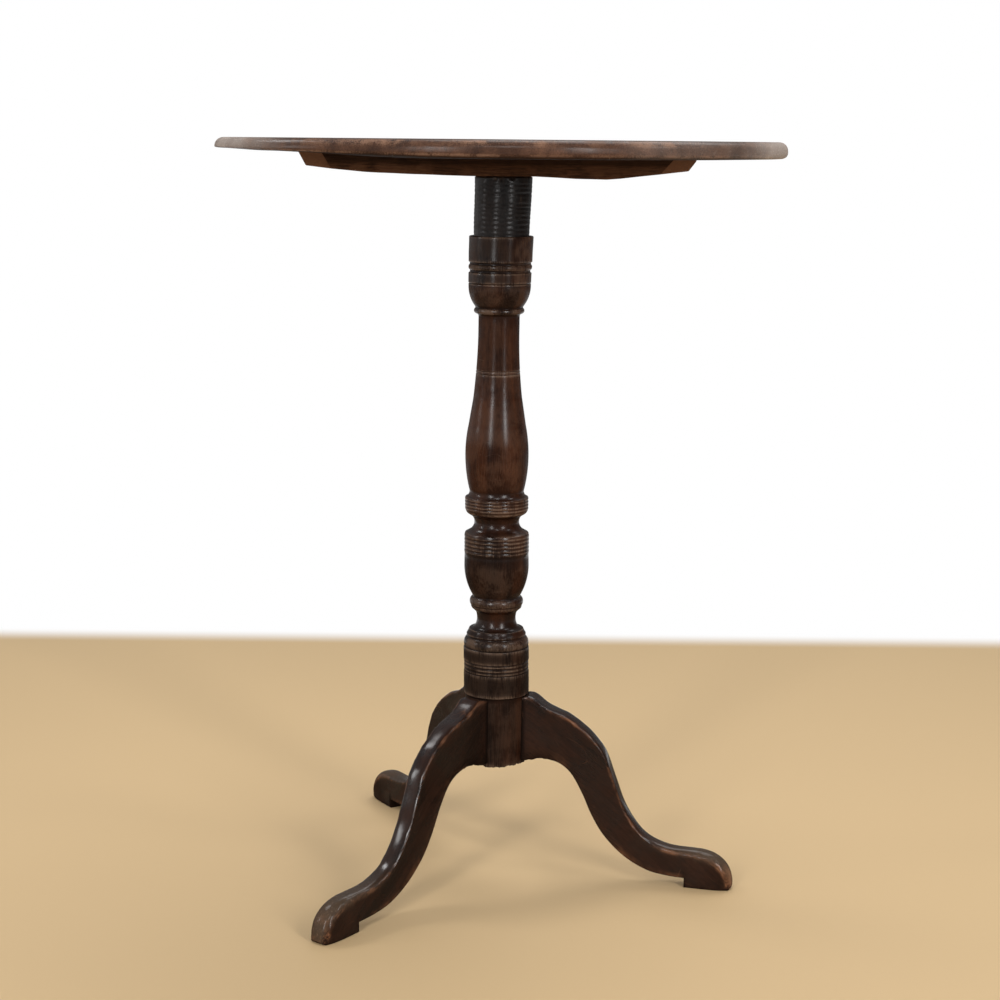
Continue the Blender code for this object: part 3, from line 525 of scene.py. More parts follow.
def finished_piece(name, bm, finish, node, smooth):
    """Makes the object from its bmesh, hangs it on the root body and hides the imported node it stands in
    for.
    """
    bmesh.ops.recalc_face_normals(bm, faces=bm.faces)
    mesh = bpy.data.meshes.new(name)
    bm.to_mesh(mesh)
    bm.free()
    mesh.shade_smooth()
    mesh.set_sharp_from_angle(angle=math.radians(smooth))
    mesh.materials.append(finish)
    piece = bpy.data.objects.new(name, mesh)
    bpy.context.scene.collection.objects.link(piece)
    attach(piece, "root")
    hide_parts(node)
    print(name, "faces:", len(mesh.polygons))


def spun(profile, steps, centres=((0, 0),)):
    """A bmesh of the (radius, height) profile spun round an upright axis through each of the centres."""
    bm = bmesh.new()
    for x, y in centres:
        verts = [bm.verts.new((x + radius, y, height)) for radius, height in profile]
        edges = [bm.edges.new(pair) for pair in zip(verts, verts[1:])]
        bmesh.ops.spin(bm, geom=verts + edges, axis=(0, 0, 1), cent=(x, y, 0),
                       angle=math.tau, steps=steps, use_merge=True)
    bmesh.ops.remove_doubles(bm, verts=bm.verts, dist=0.000002)
    bmesh.ops.recalc_face_normals(bm, faces=bm.faces)
    return bm


def drilled(bm, cutter_bm):
    """Cuts the cutters out of a solid and hands back the drilled solid as a bmesh."""
    pieces = []
    for name, source in (("blank", bm), ("cutter", cutter_bm)):
        mesh = bpy.data.meshes.new(name)
        source.to_mesh(mesh)
        source.free()
        pieces.append(bpy.data.objects.new(name, mesh))
        bpy.context.scene.collection.objects.link(pieces[-1])
    holes = pieces[0].modifiers.new("holes", "BOOLEAN")
    holes.operation, holes.solver, holes.object = "DIFFERENCE", "EXACT", pieces[1]
    cut_mesh = bpy.data.meshes.new_from_object(pieces[0].evaluated_get(bpy.context.evaluated_depsgraph_get()))
    result = bmesh.new()
    result.from_mesh(cut_mesh)
    bpy.data.meshes.remove(cut_mesh)
    for piece in pieces:
        mesh = piece.data
        bpy.data.objects.remove(piece)
        bpy.data.meshes.remove(mesh)
    return result


def wave(x, y, z, size, seed=0.0):
    """Smooth repeatable noise between -1 and 1, whose bumps are about size metres across."""
    return noise.noise(Vector((x, y, z)) / size + Vector((seed, seed * 1.7, -seed)))


def smoothstep(low, high, value):
    share = min(1.0, max(0.0, (value - low) / (high - low)))
    return share * share * (3 - 2 * share)


# %% [markdown]
# The round top
#
# Three boards with their grain from front to back make the top. The whole disc is spun once, with a soft
# shoulder above and a smaller one below, and each board is then sawn out of it. Small waves in the rim keep
# it from looking machined. A wide hand-planed bevel thins the rim from below, and the left end is planed
# thinner still, under the bearer too. The boards' upper edges are eased along the joints, and the joints
# are dark with grime. The rim's upper shoulder is rubbed pale, most of all in a few places in front. The
# lower shoulder is rubbed pale too and carries a painted highlight, strongest on the left. The rim's two
# ends, and more faintly its right part, have a painted sheen, and its underside is painted darker. The
# upper face is dull.

# %% Top boards
TOP_RADIUS = 0.2675
TOP_HEIGHT = 0.7185
TOP_THICKNESS = 0.016
TOP_SHOULDER = 0.0082
TOP_LOWER_SHOULDER = 0.0058
RIM_BEVEL_WIDTH = 0.034
RIM_BEVEL_LEAST, RIM_BEVEL_MOST = 0.0008, 0.0050
RIM_BEVEL_DEEPEST, RIM_BEVEL_POWER = 0.72, 1.5
LEFT_END_BEVEL, LEFT_END_SPAN = 0.0014, (-0.200, -0.250)  # the extra bevel at the left end
THINNING_LESS, THINNING_SPAN = 0.0002, (-0.050, -0.170)  # how much less than the bevel, and from where
BOARD_GAP = 0.0001
JOINT_EASING = 0.0006  # how far the boards' upper edges are eased along a joint
# Each board: its name, its node, its left and right sides, and how much darker its upper face has grown
BOARDS = (
    ("left_board", "top_board_left", -TOP_RADIUS, -TOP_RADIUS / 3, 0.05),
    ("middle_board", "top_board_middle", -TOP_RADIUS / 3, TOP_RADIUS / 3, 0.24),
    ("right_board", "top_board_right", TOP_RADIUS / 3, TOP_RADIUS, 0.12),
)
# Places in front where the upper shoulder is rubbed through: x, half width, strength
RUBBED_PLACES = ((-0.150, 0.012, 0.5), (-0.118, 0.016, 0.8), (-0.090, 0.012, 0.9), (-0.010, 0.026, 1.0),
                 (0.030, 0.012, 0.5), (0.130, 0.022, 1.0), (0.165, 0.014, 0.7))


def quarter(centre_r, centre_z, radius, start, stop, steps):
    for step in range(steps + 1):
        angle = math.radians(start + (stop - start) * step / steps)
        yield centre_r + radius * math.cos(angle), centre_z + radius * math.sin(angle)


def top_profile():
    bottom = TOP_HEIGHT - TOP_THICKNESS
    profile = [(0, TOP_HEIGHT)] + [(TOP_RADIUS * share, TOP_HEIGHT) for share in (0.25, 0.5, 0.75, 0.9, 0.96)]
    profile += quarter(TOP_RADIUS - TOP_SHOULDER, TOP_HEIGHT - TOP_SHOULDER, TOP_SHOULDER, 90, 0, 9)
    edge = TOP_RADIUS - TOP_LOWER_SHOULDER
    profile += quarter(edge, bottom + TOP_LOWER_SHOULDER, TOP_LOWER_SHOULDER, 0, -90, 8)
    profile += [(edge - RIM_BEVEL_WIDTH * share, bottom) for share in (0.25, 0.5, 0.75, 1.0)]
    shares = (0.80, 0.75, 0.70, 0.65, 0.60, 0.55, 0.50, 0.45, 0.40, 0.35, 0.30, 0.25)
    return profile + [(TOP_RADIUS * share, bottom) for share in shares] + [(0, bottom)]


def rim_bevel(x):
    """How high the wide bevel under the rim rises at its outer edge, most of all on the left."""
    leftward = min(1.0, max(0.0, -x / (TOP_RADIUS * RIM_BEVEL_DEEPEST)))
    bevel = RIM_BEVEL_LEAST + (RIM_BEVEL_MOST - RIM_BEVEL_LEAST) * leftward ** RIM_BEVEL_POWER
    return bevel + LEFT_END_BEVEL * smoothstep(*LEFT_END_SPAN, x)


def thinning(x):
    """How much the left end of the top has been planed away below, under the bearer too."""
    return (rim_bevel(x) - THINNING_LESS) * smoothstep(*THINNING_SPAN, x)


def ease_joint(bm, place, side):
    """Takes the sharp corner off the edge where a joint meets the flat upper face."""
    slice_at(bm, (place - side * JOINT_EASING, 0, 0), (1, 0, 0))
    for vert in bm.verts:
        if abs(vert.co.x - place) < 1e-6 and vert.co.z > TOP_HEIGHT - 1e-6:
            flat = smoothstep(TOP_RADIUS - TOP_SHOULDER, TOP_RADIUS * 0.96, vert.co.xy.length)
            vert.co.z -= JOINT_EASING * flat


def make_board(name, node, left, right, darkened):
    bm = spun(top_profile(), 288)
    for place, side in ((left + BOARD_GAP / 2, -1), (right - BOARD_GAP / 2, 1)):
        if abs(place) > TOP_RADIUS - 0.001:
            continue
        slice_at(bm, (place, 0, 0), (side, 0, 0), cap=True)
        ease_joint(bm, place, side)
    ridge, hollow, dust_and_sheen_mask, patina, matt = paint_layers(bm, "ridge", "hollow", "dust_and_sheen_mask", "patina", "matt")
    bm.normal_update()
    middle = TOP_HEIGHT - TOP_THICKNESS / 2
    bevel_start = TOP_RADIUS - TOP_LOWER_SHOULDER - RIM_BEVEL_WIDTH
    for vert in bm.verts:
        x, y, z = vert.co
        radius = math.hypot(x, y)
        underside = smoothstep(-0.50, -0.85, vert.normal.z)
        beside_joint = min(abs(x - left), abs(x - right)) < 2 * BOARD_GAP
        in_joint = abs(z - TOP_HEIGHT + JOINT_EASING) < 1e-5 and beside_joint
        upper_face = 1.0 if in_joint or z > TOP_HEIGHT - 1e-5 else 0.0
        vert[matt] = max(underside, 0.9 * upper_face)
        # The underside is painted darker through the patina and hollow masks.
        vert[patina] = 0.60 * underside + darkened * upper_face
        vert[hollow] = 1.0 if in_joint else 0.8 * underside
        below = max(0.0, (middle - z) / (TOP_THICKNESS / 2))
        outward = min(1.0, max(0.0, (radius - bevel_start) / RIM_BEVEL_WIDTH))
        vert.co.z += below * (thinning(x) + (rim_bevel(x) - thinning(x)) * outward)
        if radius < TOP_RADIUS - TOP_SHOULDER - 0.001:
            continue
        # A painted sheen lies on both ends of the rim, and more faintly over its right part, through the
        # dust_and_sheen_mask.
        painted_sheen = smoothstep(-0.17, -0.255, x) * smoothstep(-0.6, 0.2, vert.normal.z)
        painted_sheen += 0.85 * smoothstep(0.200, 0.255, x) + 0.15 * smoothstep(0.09, 0.13, x)
        vert[dust_and_sheen_mask] = min(1.0, painted_sheen * (1 + 0.4 * wave(x, y, z, 0.02, 14)))
        upper = smoothstep(0.15, 0.7, vert.normal.z) * smoothstep(1.0, 0.85, vert.normal.z)
        # The lower shoulder's pale line is wear and a painted highlight, strongest on the left.
        lower = smoothstep(0.2, 0.5, -vert.normal.z) * smoothstep(0.95, 0.75, -vert.normal.z)
        front = sum(strength * math.exp(-((x - at) / width) ** 2) for at, width, strength in RUBBED_PLACES)
        rubbed = 0.22 + 0.35 * wave(x, y, z, 0.03, 4) + (front if y < 0 else 0.5 * wave(x, y, z, 0.05, 9))
        lower *= 0.60 + 0.4 * smoothstep(0.03, -0.03, x) + 0.5 * wave(x, y, z, 0.04, 7)
        vert[ridge] = min(1.0, max(0.0, upper * rubbed + lower))
        inward = 0.00035 * (wave(x, y, z * 0.5, 0.035, 1) - 0.6) + 0.00018 * wave(x, y, z, 0.009, 2)
        vert.co += Vector((x, y, 0)).normalized() * min(0.0, inward)
    finished_piece(name, bm, top_finish, node, smooth=40)


for board in BOARDS:
    make_board(*board)

# %% [markdown]
# The bearer
#
# The long batten under the top is flat in the middle and tapers to thin ends, whose four corners are cut
# away as facets. Its outline is drawn once from the front and carried through its width. A bevel then
# rounds the edges, the batten's upper face follows the thinned left end of the top, and a little noise
# gives the slight waves that a hand plane leaves. The holes for the neck's tenon and the screws are drilled
# last, so that their rims stay crisp.

# %% Bearer
BEARER_TOP = TOP_HEIGHT - TOP_THICKNESS - 0.0003
BEARER_WIDTH = 0.070
BEARER_THICKNESS = 0.0175
RIGHT_REACH, LEFT_REACH = 0.1817, 0.1885
# Corners of the underside, out from the middle: share of the reach and share of the thickness
RIGHT_CORNER_shares = (
    (0.176, 1.0), (0.381, 1.097), (0.536, 1.126), (0.613, 1.063), (0.961, 0.640), (1.0, 0.103),
)
LEFT_CORNER_shares = (
    (0.170, 1.0), (0.453, 0.923), (0.603, 0.874), (0.677, 0.831), (0.826, 0.680), (0.965, 0.514),
    (1.0, 0.103),
)
FACET_LENGTH, FACET_SLANT, FACET_DEPTH = 0.022, 0.0155, 0.009
TENON_HOLE_RADIUS = 0.0143
SCREW_PLACES = (
    (-0.1376, -0.019), (-0.1376, 0.019), (-0.0528, -0.019), (0.0509, 0.019), (0.1326, -0.019),
    (0.1326, 0.019),
)
SCREW_SINK = 0.0008
HEAD_HOLE_RADIUS, SHANK_HOLE_RADIUS, HEAD_HOLE_DEPTH = 0.0046, 0.0024, 0.0028
BEARER_ARRIS = 0.0012
RIM_SHADOW_BAND = (BEARER_TOP - 0.0060, BEARER_TOP - 0.0085)  # where the painted shadow of the top's rim ends on the sides

right_side = [(RIGHT_REACH * out, BEARER_TOP - BEARER_THICKNESS * drop) for out, drop in RIGHT_CORNER_shares]
left_side = [(-LEFT_REACH * out, BEARER_TOP - BEARER_THICKNESS * drop) for out, drop in LEFT_CORNER_shares]
underside = left_side[::-1] + right_side


def underside_at(x):
    """Height of the bearer's underside at a place along it."""
    for (start, first), (stop, second) in zip(underside, underside[1:]):
        if start <= x <= stop:
            return first + (second - first) * (x - start) / (stop - start)


bm = bmesh.new()
outline = [(-LEFT_REACH, BEARER_TOP)] + underside + [(RIGHT_REACH, BEARER_TOP)]
face = bm.faces.new([bm.verts.new((x, -BEARER_WIDTH / 2, z)) for x, z in outline])
grown = bmesh.ops.extrude_face_region(bm, geom=[face])["geom"]
bmesh.ops.translate(bm, verts=[item for item in grown if isinstance(item, bmesh.types.BMVert)],
                    vec=(0, BEARER_WIDTH, 0))
for tip in (RIGHT_REACH, -LEFT_REACH):
    for side in (BEARER_WIDTH / 2, -BEARER_WIDTH / 2):
        inward = -math.copysign(1, tip)
        upper = Vector((tip + inward * FACET_LENGTH, side, BEARER_TOP))
        lower = upper + Vector((inward * FACET_SLANT, 0, -BEARER_THICKNESS))
        end = Vector((tip, side - math.copysign(FACET_DEPTH, side), BEARER_TOP))
        outward = (lower - upper).cross(end - upper)
        if outward.y * side < 0:
            outward.negate()
        slice_at(bm, upper, outward, cap=True)
bmesh.ops.recalc_face_normals(bm, faces=bm.faces)
arrises = [edge for edge in bm.edges if edge.calc_face_angle() > math.radians(14)]
bmesh.ops.bevel(bm, geom=arrises, offset=BEARER_ARRIS, offset_type="OFFSET", segments=3, profile=0.5,
                affect="EDGES", material=-1, clamp_overlap=True)
for step in range(-31, 31):
    slice_at(bm, (0.006 * step, 0, 0), (1, 0, 0))
for y in (-0.024, -0.012, 0.0, 0.012, 0.024):
    slice_at(bm, (0, y, 0), (0, 1, 0))
for z in RIM_SHADOW_BAND:
    slice_at(bm, (0, 0, z), (0, 0, 1))
bmesh.ops.triangulate(bm, faces=[face for face in bm.faces if len(face.verts) > 4])
mark_edges(bm, sharp=0.18)
ridge, hollow = paint_layers(bm, "ridge", "hollow")
for vert in bm.verts:
    x, y, z = vert.co
    from_tip = (RIGHT_REACH if x > 0 else LEFT_REACH) - abs(x)
    facet = from_tip < FACET_LENGTH + FACET_SLANT * (BEARER_TOP - z) / BEARER_THICKNESS - 0.0004
    if facet:
        # The end facets are painted pale through the ridge mask: a painted highlight where they face the side
        # light.
        vert[ridge] = max(vert[ridge], 0.95 + 0.2 * wave(x, y, z, 0.01, 15))
    elif abs(y) > BEARER_WIDTH / 2 - 0.0015:
        # Towards both ends, most on the left, the sides are painted paler through the ridge mask.
        vert[ridge] = max(vert[ridge], 0.55 * smoothstep(-0.03, -0.09, x) + 0.25 * smoothstep(0.03, 0.08, x))
        # Just under the top the sides are painted darker through the hollow mask: a painted shadow of the
        # top's rim.
        vert[hollow] = max(vert[hollow], 0.70 * smoothstep(RIM_SHADOW_BAND[1], RIM_SHADOW_BAND[0], z))
    vert.co.z += thinning(x) * min(1.0, max(0.0, (z - BEARER_TOP + 0.0090) / 0.0065))
    if z < BEARER_TOP - 0.002:
        vert.co.z += 0.0003 * (wave(x, y, 0, 0.03, 3) + 1) * smoothstep(RIGHT_REACH, 0.12, abs(x))
    vert.co.y -= math.copysign(0.0003 * (wave(x, y, z, 0.02, 5) + 1), y) if abs(y) > 0.02 else 0
for x, y in SCREW_PLACES:
    face = underside_at(x) + SCREW_SINK
    countersink = [(0, face - 0.005), (HEAD_HOLE_RADIUS, face - 0.005), (HEAD_HOLE_RADIUS, face),
                   (SHANK_HOLE_RADIUS, face + HEAD_HOLE_DEPTH), (SHANK_HOLE_RADIUS, BEARER_TOP + 0.008),
                   (0, BEARER_TOP + 0.008)]
    bm = drilled(bm, spun(countersink, 24, [(x, y)]))
tenon_hole = [(0, BEARER_TOP - 0.03), (TENON_HOLE_RADIUS, BEARER_TOP - 0.03),
              (TENON_HOLE_RADIUS, BEARER_TOP + 0.002), (0, BEARER_TOP + 0.002)]
bm = drilled(bm, spun(tenon_hole, 48))
finished_piece("bearer_batten", bm, bearer_finish, "bearer", smooth=45)

# %% [markdown]
# The neck
#
# Between the bearer and the pillar stands a short cylinder, roughly turned and nearly black. The tool has
# left fine ripples, which break the highlights into dashes. Its upper edge is chipped where it meets the
# bearer. The profile runs from the top of the tenon to the end of the spigot, so the hidden joints are
# there too.

# %% Neck
NECK_TOP = 0.6844
NECK_FOOT = 0.6278
NECK_RADII = (0.0275, 0.0266)
NECK_RIPPLES = 13
NECK_LEAN = (0.0010, 0.0025)
TENON_RADIUS = 0.0140
SPIGOT_RADIUS = 0.0150
SPIGOT_END = NECK_FOOT - 0.046

profile = [(0, BEARER_TOP), (TENON_RADIUS, BEARER_TOP), (TENON_RADIUS, NECK_TOP)]
profile += [(NECK_RADII[0] - 0.0012, NECK_TOP), (NECK_RADII[0] - 0.0003, NECK_TOP - 0.0005)]
ripple_steps = NECK_RIPPLES * 6
for step in range(ripple_steps + 1):
    down = step / ripple_steps
    height = NECK_TOP - 0.0012 + (NECK_FOOT + 0.0006 - NECK_TOP + 0.0012) * down
    depth = 0.00018 * (1 + 0.9 * wave(0, 0, height, 0.006, 3))
    passed = down + 0.03 * wave(0, 0, height, 0.011, 5)
    ripple = depth * (0.5 - 0.5 * math.cos(math.tau * NECK_RIPPLES * passed))
    profile.append((NECK_RADII[0] + (NECK_RADII[1] - NECK_RADII[0]) * down - ripple, height))
profile += [(NECK_RADII[1] - 0.0007, NECK_FOOT), (SPIGOT_RADIUS, NECK_FOOT),
            (SPIGOT_RADIUS, SPIGOT_END + 0.002), (SPIGOT_RADIUS - 0.002, SPIGOT_END), (0, SPIGOT_END)]
bm = spun(profile, 144)
mark_edges(bm, sharp=0.20)
ridge = bm.verts.layers.float["ridge"]
for vert in bm.verts:
    x, y, z = vert.co
    if math.hypot(x, y) < SPIGOT_RADIUS + 0.001:
        continue
    chip = smoothstep(NECK_TOP - 0.0045, NECK_TOP - 0.0008, z)
    chip *= smoothstep(0.05, 0.45, wave(x, y, z * 0.3, 0.006, 6))
    uneven = 0.00012 * (wave(x, y, z, 0.012, 8) - 1)
    lean = NECK_LEAN[0] + (NECK_LEAN[1] - NECK_LEAN[0]) * smoothstep(NECK_FOOT, NECK_TOP, z)
    vert.co += Vector((x, y, 0)).normalized() * (uneven - 0.0011 * chip) + Vector((lean, 0, 0))
    vert[ridge] = min(1.0, vert[ridge] * 0.2 + chip)
finished_piece("neck_turning", bm, neck_finish, "neck", smooth=60)

# %% [markdown]
# The pillar
#
# The pillar is one long turning. Each row of the cuts below is one cut of the tool, from the top down: the
# height and radius where the cut ends, how far it bellies out or in as a share of its own length, and how
# many facets draw it. A low lip stays round the neck's foot. Spinning the finished profile makes the whole
# pillar, and a bevel rounds the sharp rings that would otherwise catch no light.

# %% The pillar's cuts, in millimetres
PILLAR_LIP = ((27.9, 627.5), (28.1, 628.6))  # a low rim round the neck's foot
PILLAR_START = (29.9, 628.8)
PILLAR_CUTS = (
    (628.1, 30.69, 0, 1), (604.6, 30.40, 0, 12), (603.9, 29.30, 0, 1), (602.2, 29.20, 0, 1),
    (601.5, 29.85, 0, 1), (597.5, 29.75, 0.14, 6), (596.7, 28.85, 0, 1), (594.8, 28.85, 0, 1),
    (594.0, 30.11, 0, 1), (584.9, 30.01, 0, 5), (584.2, 29.30, 0, 1), (582.4, 29.85, 0.16, 4),
    (562.1, 23.18, 0.085, 16), (560.7, 22.80, 0, 1), (555.1, 21.09, 0.39, 10), (553.4, 19.80, 0, 1),
    (534.6, 19.80, 0, 6), (502.2, 21.03, -0.007, 10), (501.7, 21.08, 0, 1), (501.1, 20.70, 0, 1),
    (500.5, 21.15, 0, 1), (498.7, 21.27, 0, 2), (498.1, 20.92, 0, 1), (497.5, 21.38, 0, 1),
    (474.7, 23.51, -0.005, 10), (447.8, 27.79, 0, 9), (383.9, 26.40, 0.056, 28),
    (378.5, 28.40, -0.08, 5), (377.8, 30.49, 0, 1), (374.7, 30.49, 0.13, 6), (371.6, 30.49, 0.13, 6),
    (368.4, 30.49, 0.13, 6), (365.4, 30.40, 0.13, 6), (361.4, 27.40, 0.12, 6), (359.2, 23.99, 0, 1),
    (345.1, 26.50, -0.225, 16), (342.6, 31.00, 0, 2), (341.6, 31.20, 0, 1), (337.9, 31.20, 0.10, 6),
    (334.1, 31.20, 0.10, 6), (330.3, 31.20, 0.10, 6), (326.6, 31.20, 0.10, 6), (323.0, 31.30, 0.10, 6),
    (312.7, 31.49, 0, 4), (280.8, 23.60, 0.07, 16), (279.4, 23.60, 0, 1), (271.8, 25.60, 0.20, 10),
    (271.2, 25.00, 0, 1), (266.8, 22.80, 0.16, 7), (264.3, 20.19, 0, 2), (250.6, 20.60, -0.10, 12),
    (247.2, 26.60, -0.16, 8), (242.3, 29.10, -0.03, 5), (241.6, 29.20, 0, 1), (240.8, 28.50, 0, 1),
    (239.6, 28.70, 0, 1), (230.4, 31.40, 0.16, 10), (229.7, 30.80, 0, 1), (228.8, 32.10, 0, 1),
    (216.4, 32.20, 0, 5), (215.9, 31.50, 0, 1), (212.1, 31.50, 0.09, 6),
    (208.2, 31.50, 0.09, 6), (205.1, 31.50, 0.09, 6), (204.5, 32.10, 0, 1), (183.0, 32.10, 0, 7),
)
REED_BELLIES, REED_LENGTH = (0.085, 0.15), 6.5
# How far the old pillar has bowed to one side, and how much of it black polish covers, by height
PILLAR_BOW = (
    (183, 0), (250, -0.6), (330, -0.95), (400, -1.4), (435, -1.5), (480, -1.2), (560, -0.6), (585, -0.3),
    (610, 0.3), (628, 0.8),
)
PILLAR_PATINA = (
    (113, 0.95), (117, 0.64), (180, 0.74), (190, 1.02), (226, 0.98), (245, 0.74), (262, 0.52), (285, 0.56),
    (320, 0.74), (345, 0.48), (380, 0.15), (400, 0.0), (470, 0.05), (540, 0.15), (560, 0.44), (580, 0.50),
    (586, 0.52), (628, 0.56),
)
# Bands of dull polish, in metres: strength, then the heights between which each end fades
DULL_BANDS = (
    (0.45, 0.2490, 0.2450, 0.1980, 0.2030), (0.85, 0.2820, 0.2880, 0.3220, 0.3170),
    (0.75, 0.2300, 0.2270, 0.1700, 0.1840), (0.60, 0.5600, 0.5640, 0.5830, 0.5800),
)
RING_ROUNDING = 0.00022
PILLAR_JOINT_RADIUS = 30.6
PILLAR_FOOT = 113.0
SOCKET_RADIUS = 15.3
SOCKET_FLOOR = 580.8
MM = 0.001


def arc(start, end, belly, steps):
    """Points after start on an arc whose rise is belly times its chord, out from the axis if positive."""
    start, end = Vector(start), Vector(end)
    if not belly:
        return [start.lerp(end, step / steps) for step in range(1, steps + 1)]
    chord = end - start
    rise = belly * chord.length
    radius = (chord.length_squared / 4 + rise * rise) / (2 * rise)
    centre = start.lerp(end, 0.5) + Vector((-chord.y, chord.x)).normalized() * (rise - radius)
    turn = 4 * math.atan2(2 * rise, chord.length)
    turns = [Matrix.Rotation(-turn * step / steps, 2) for step in range(1, steps + 1)]
    return [centre + rotation @ (start - centre) for rotation in turns]


def read_off(table, height):
    """The value beside a height in a table of (millimetres, value) rows, blended between the rows."""
    for (low, first), (high, second) in zip(table, table[1:]):
        if height <= high * MM:
            return first + (second - first) * smoothstep(low * MM, high * MM, height)
    return table[-1][1]


profile = [(0, SOCKET_FLOOR), (SOCKET_RADIUS, SOCKET_FLOOR), (SOCKET_RADIUS, PILLAR_LIP[0][1])]
profile += [*PILLAR_LIP, PILLAR_START]
crests = []
for height, radius, belly, steps in PILLAR_CUTS:
    length = profile[-1][1] - height
    if REED_BELLIES[0] <= belly <= REED_BELLIES[1] and length < REED_LENGTH:
        crests.append(((profile[-1][1] + height) / 2 * MM, length * 0.19 * MM))
    profile += [tuple(point) for point in arc(profile[-1], (radius, height), belly, steps)]
profile += [(PILLAR_JOINT_RADIUS, PILLAR_CUTS[-1][0])]
profile += arc(profile[-1], (PILLAR_JOINT_RADIUS, PILLAR_FOOT + 1.2), 0, 24)
profile += [(PILLAR_JOINT_RADIUS - 1.2, PILLAR_FOOT), (12, PILLAR_FOOT), (0, PILLAR_FOOT)]
profile = [(radius * MM, height * MM) for radius, height in profile]
print("profile points:", len(profile), "reeds:", len(crests))

# %% Spinning the pillar
bm = spun(profile, 144)
rings = [
    edge for edge in bm.edges
    if len(edge.link_faces) == 2 and edge.calc_face_angle() > math.radians(24)
    and abs(edge.verts[0].co.z - edge.verts[1].co.z) < 0.00001
]
bmesh.ops.bevel(bm, geom=rings, offset=RING_ROUNDING, offset_type="OFFSET", segments=2, profile=0.5,
                affect="EDGES", material=-1, clamp_overlap=True)
bmesh.ops.recalc_face_normals(bm, faces=bm.faces)
mark_edges(bm, sharp=0.16)
ridge, patina, matt = paint_layers(bm, "ridge", "patina", "matt")
for vert in bm.verts:
    x, y, z = vert.co
    radius = math.hypot(x, y)
    if radius < 0.0165:
        continue
    dull = [strength * smoothstep(a, b, z) * smoothstep(c, d, z) for strength, a, b, c, d in DULL_BANDS]
    vert[matt] = max(*dull, 0.6 * smoothstep(0.19, 0.18, z))
    for crest, half in crests:
        if abs(z - crest) < half * 2:
            vert[matt] = max(vert[matt], 0.45) if z > 0.23 else 0.65
        if abs(z - crest) < half and z < 0.5:
            worn_and_highlight = 0.80 + 0.3 * wave(x, y, z, 0.008, 33)
            vert[ridge] = max(vert[ridge], worn_and_highlight * smoothstep(half, half * 0.3, abs(z - crest)))
    torus = smoothstep(0.2300, 0.2320, z) * smoothstep(0.2400, 0.2380, z)
    vert[ridge] = max(vert[ridge], torus * (0.42 + 0.15 * wave(x, y, z, 0.012, 34)))
    # The lower shoulders of the two scribed lines are painted pale: a painted highlight where they face the
    # light.
    if min(abs(z - 0.5005), abs(z - 0.4975)) < 0.0004:
        vert[ridge] = 0.62
    collar = smoothstep(0.5840, 0.5860, z)
    # The collar's right side is painted paler, the rest of the pillar's right side lighter, and the collar
    # just left of its middle darker.
    vert[ridge] = max(vert[ridge], 0.24 * collar * smoothstep(0.008, 0.019, x))
    streaks = 0.16 * wave(x, y, z * 0.12, 0.007, 31) + 0.20 * wave(x, y, z * 0.4, 0.02, 32)
    black = read_off(PILLAR_PATINA, z) + streaks - 0.7 * collar * smoothstep(0.007, 0.017, x)
    black += 0.30 * collar * smoothstep(0.006, -0.002, x) * smoothstep(-0.026, -0.018, x)
    black -= 0.25 * (1 - collar) * smoothstep(0.010, 0.020, x)
    vert[patina] = min(0.9, max(0.0, black))
    dull_shaft = smoothstep(0.4990, 0.5030, z) * smoothstep(0.5570, 0.5530, z)
    dull_collar = 0.7 * collar * smoothstep(0.003, 0.007, x) * smoothstep(0.019, 0.014, x)
    dull_bulge = 0.85 * smoothstep(0.4370, 0.4280, z) * smoothstep(0.3820, 0.3860, z)
    patchy = 0.35 + 0.6 * wave(x, y, z, 0.004, 35)
    dull_bulge += patchy * smoothstep(0.4600, 0.4700, z) * smoothstep(0.5000, 0.4950, z)
    vert[matt] = min(1.0, max(vert[matt], 0.65 * dull_shaft, dull_collar, dull_bulge))
    outward = Vector((x, y, 0)).normalized()
    uneven = 0.00010 * (wave(x, y, z * 0.25, 0.02, 11) - 1)
    chips = wave(x, y, 0, 0.007, 12) + 0.6 * wave(x, y, 0, 0.0028, 13) + 0.2
    ragged = smoothstep(0.1185, 0.1135, z) * chips
    vert.co += outward * uneven + Vector((read_off(PILLAR_BOW, z) * MM, 0, max(0.0, 0.0030 * ragged)))
finished_piece("pillar_turning", bm, pillar_finish, "pillar", smooth=35)

# %% [markdown]
# The legs
#
# Each leg is sawn from a thick board. Its two long edges are smooth sweeps, drawn through the points below
# as shares of the reach and of the joint's height. The sides are flat, the top is rounded by wear, and the
# toe is pared down to a tip over a small pad. The loft joins 175 cross-sections. Where the leg meets the
# round pillar, its first sections are pushed back onto that round, as a joiner scribes a shoulder.

# %% Leg sizes
JOINT_TOP = 0.183
LEG_UPPER_shares = (
    (0.080, 0.992), (0.126, 0.995), (0.153, 0.998), (0.175, 0.983), (0.197, 0.961), (0.222, 0.940),
    (0.262, 0.918), (0.309, 0.894), (0.360, 0.850), (0.407, 0.800), (0.463, 0.708), (0.504, 0.571),
    (0.545, 0.430), (0.598, 0.319), (0.655, 0.252), (0.740, 0.212), (0.850, 0.203),
)
LEG_LOWER_shares = (
    (0.080, 0.636), (0.126, 0.638), (0.203, 0.652), (0.268, 0.642), (0.325, 0.587), (0.374, 0.478),
    (0.415, 0.360), (0.468, 0.250), (0.549, 0.148), (0.644, 0.080), (0.730, 0.057), (0.806, 0.051),
)
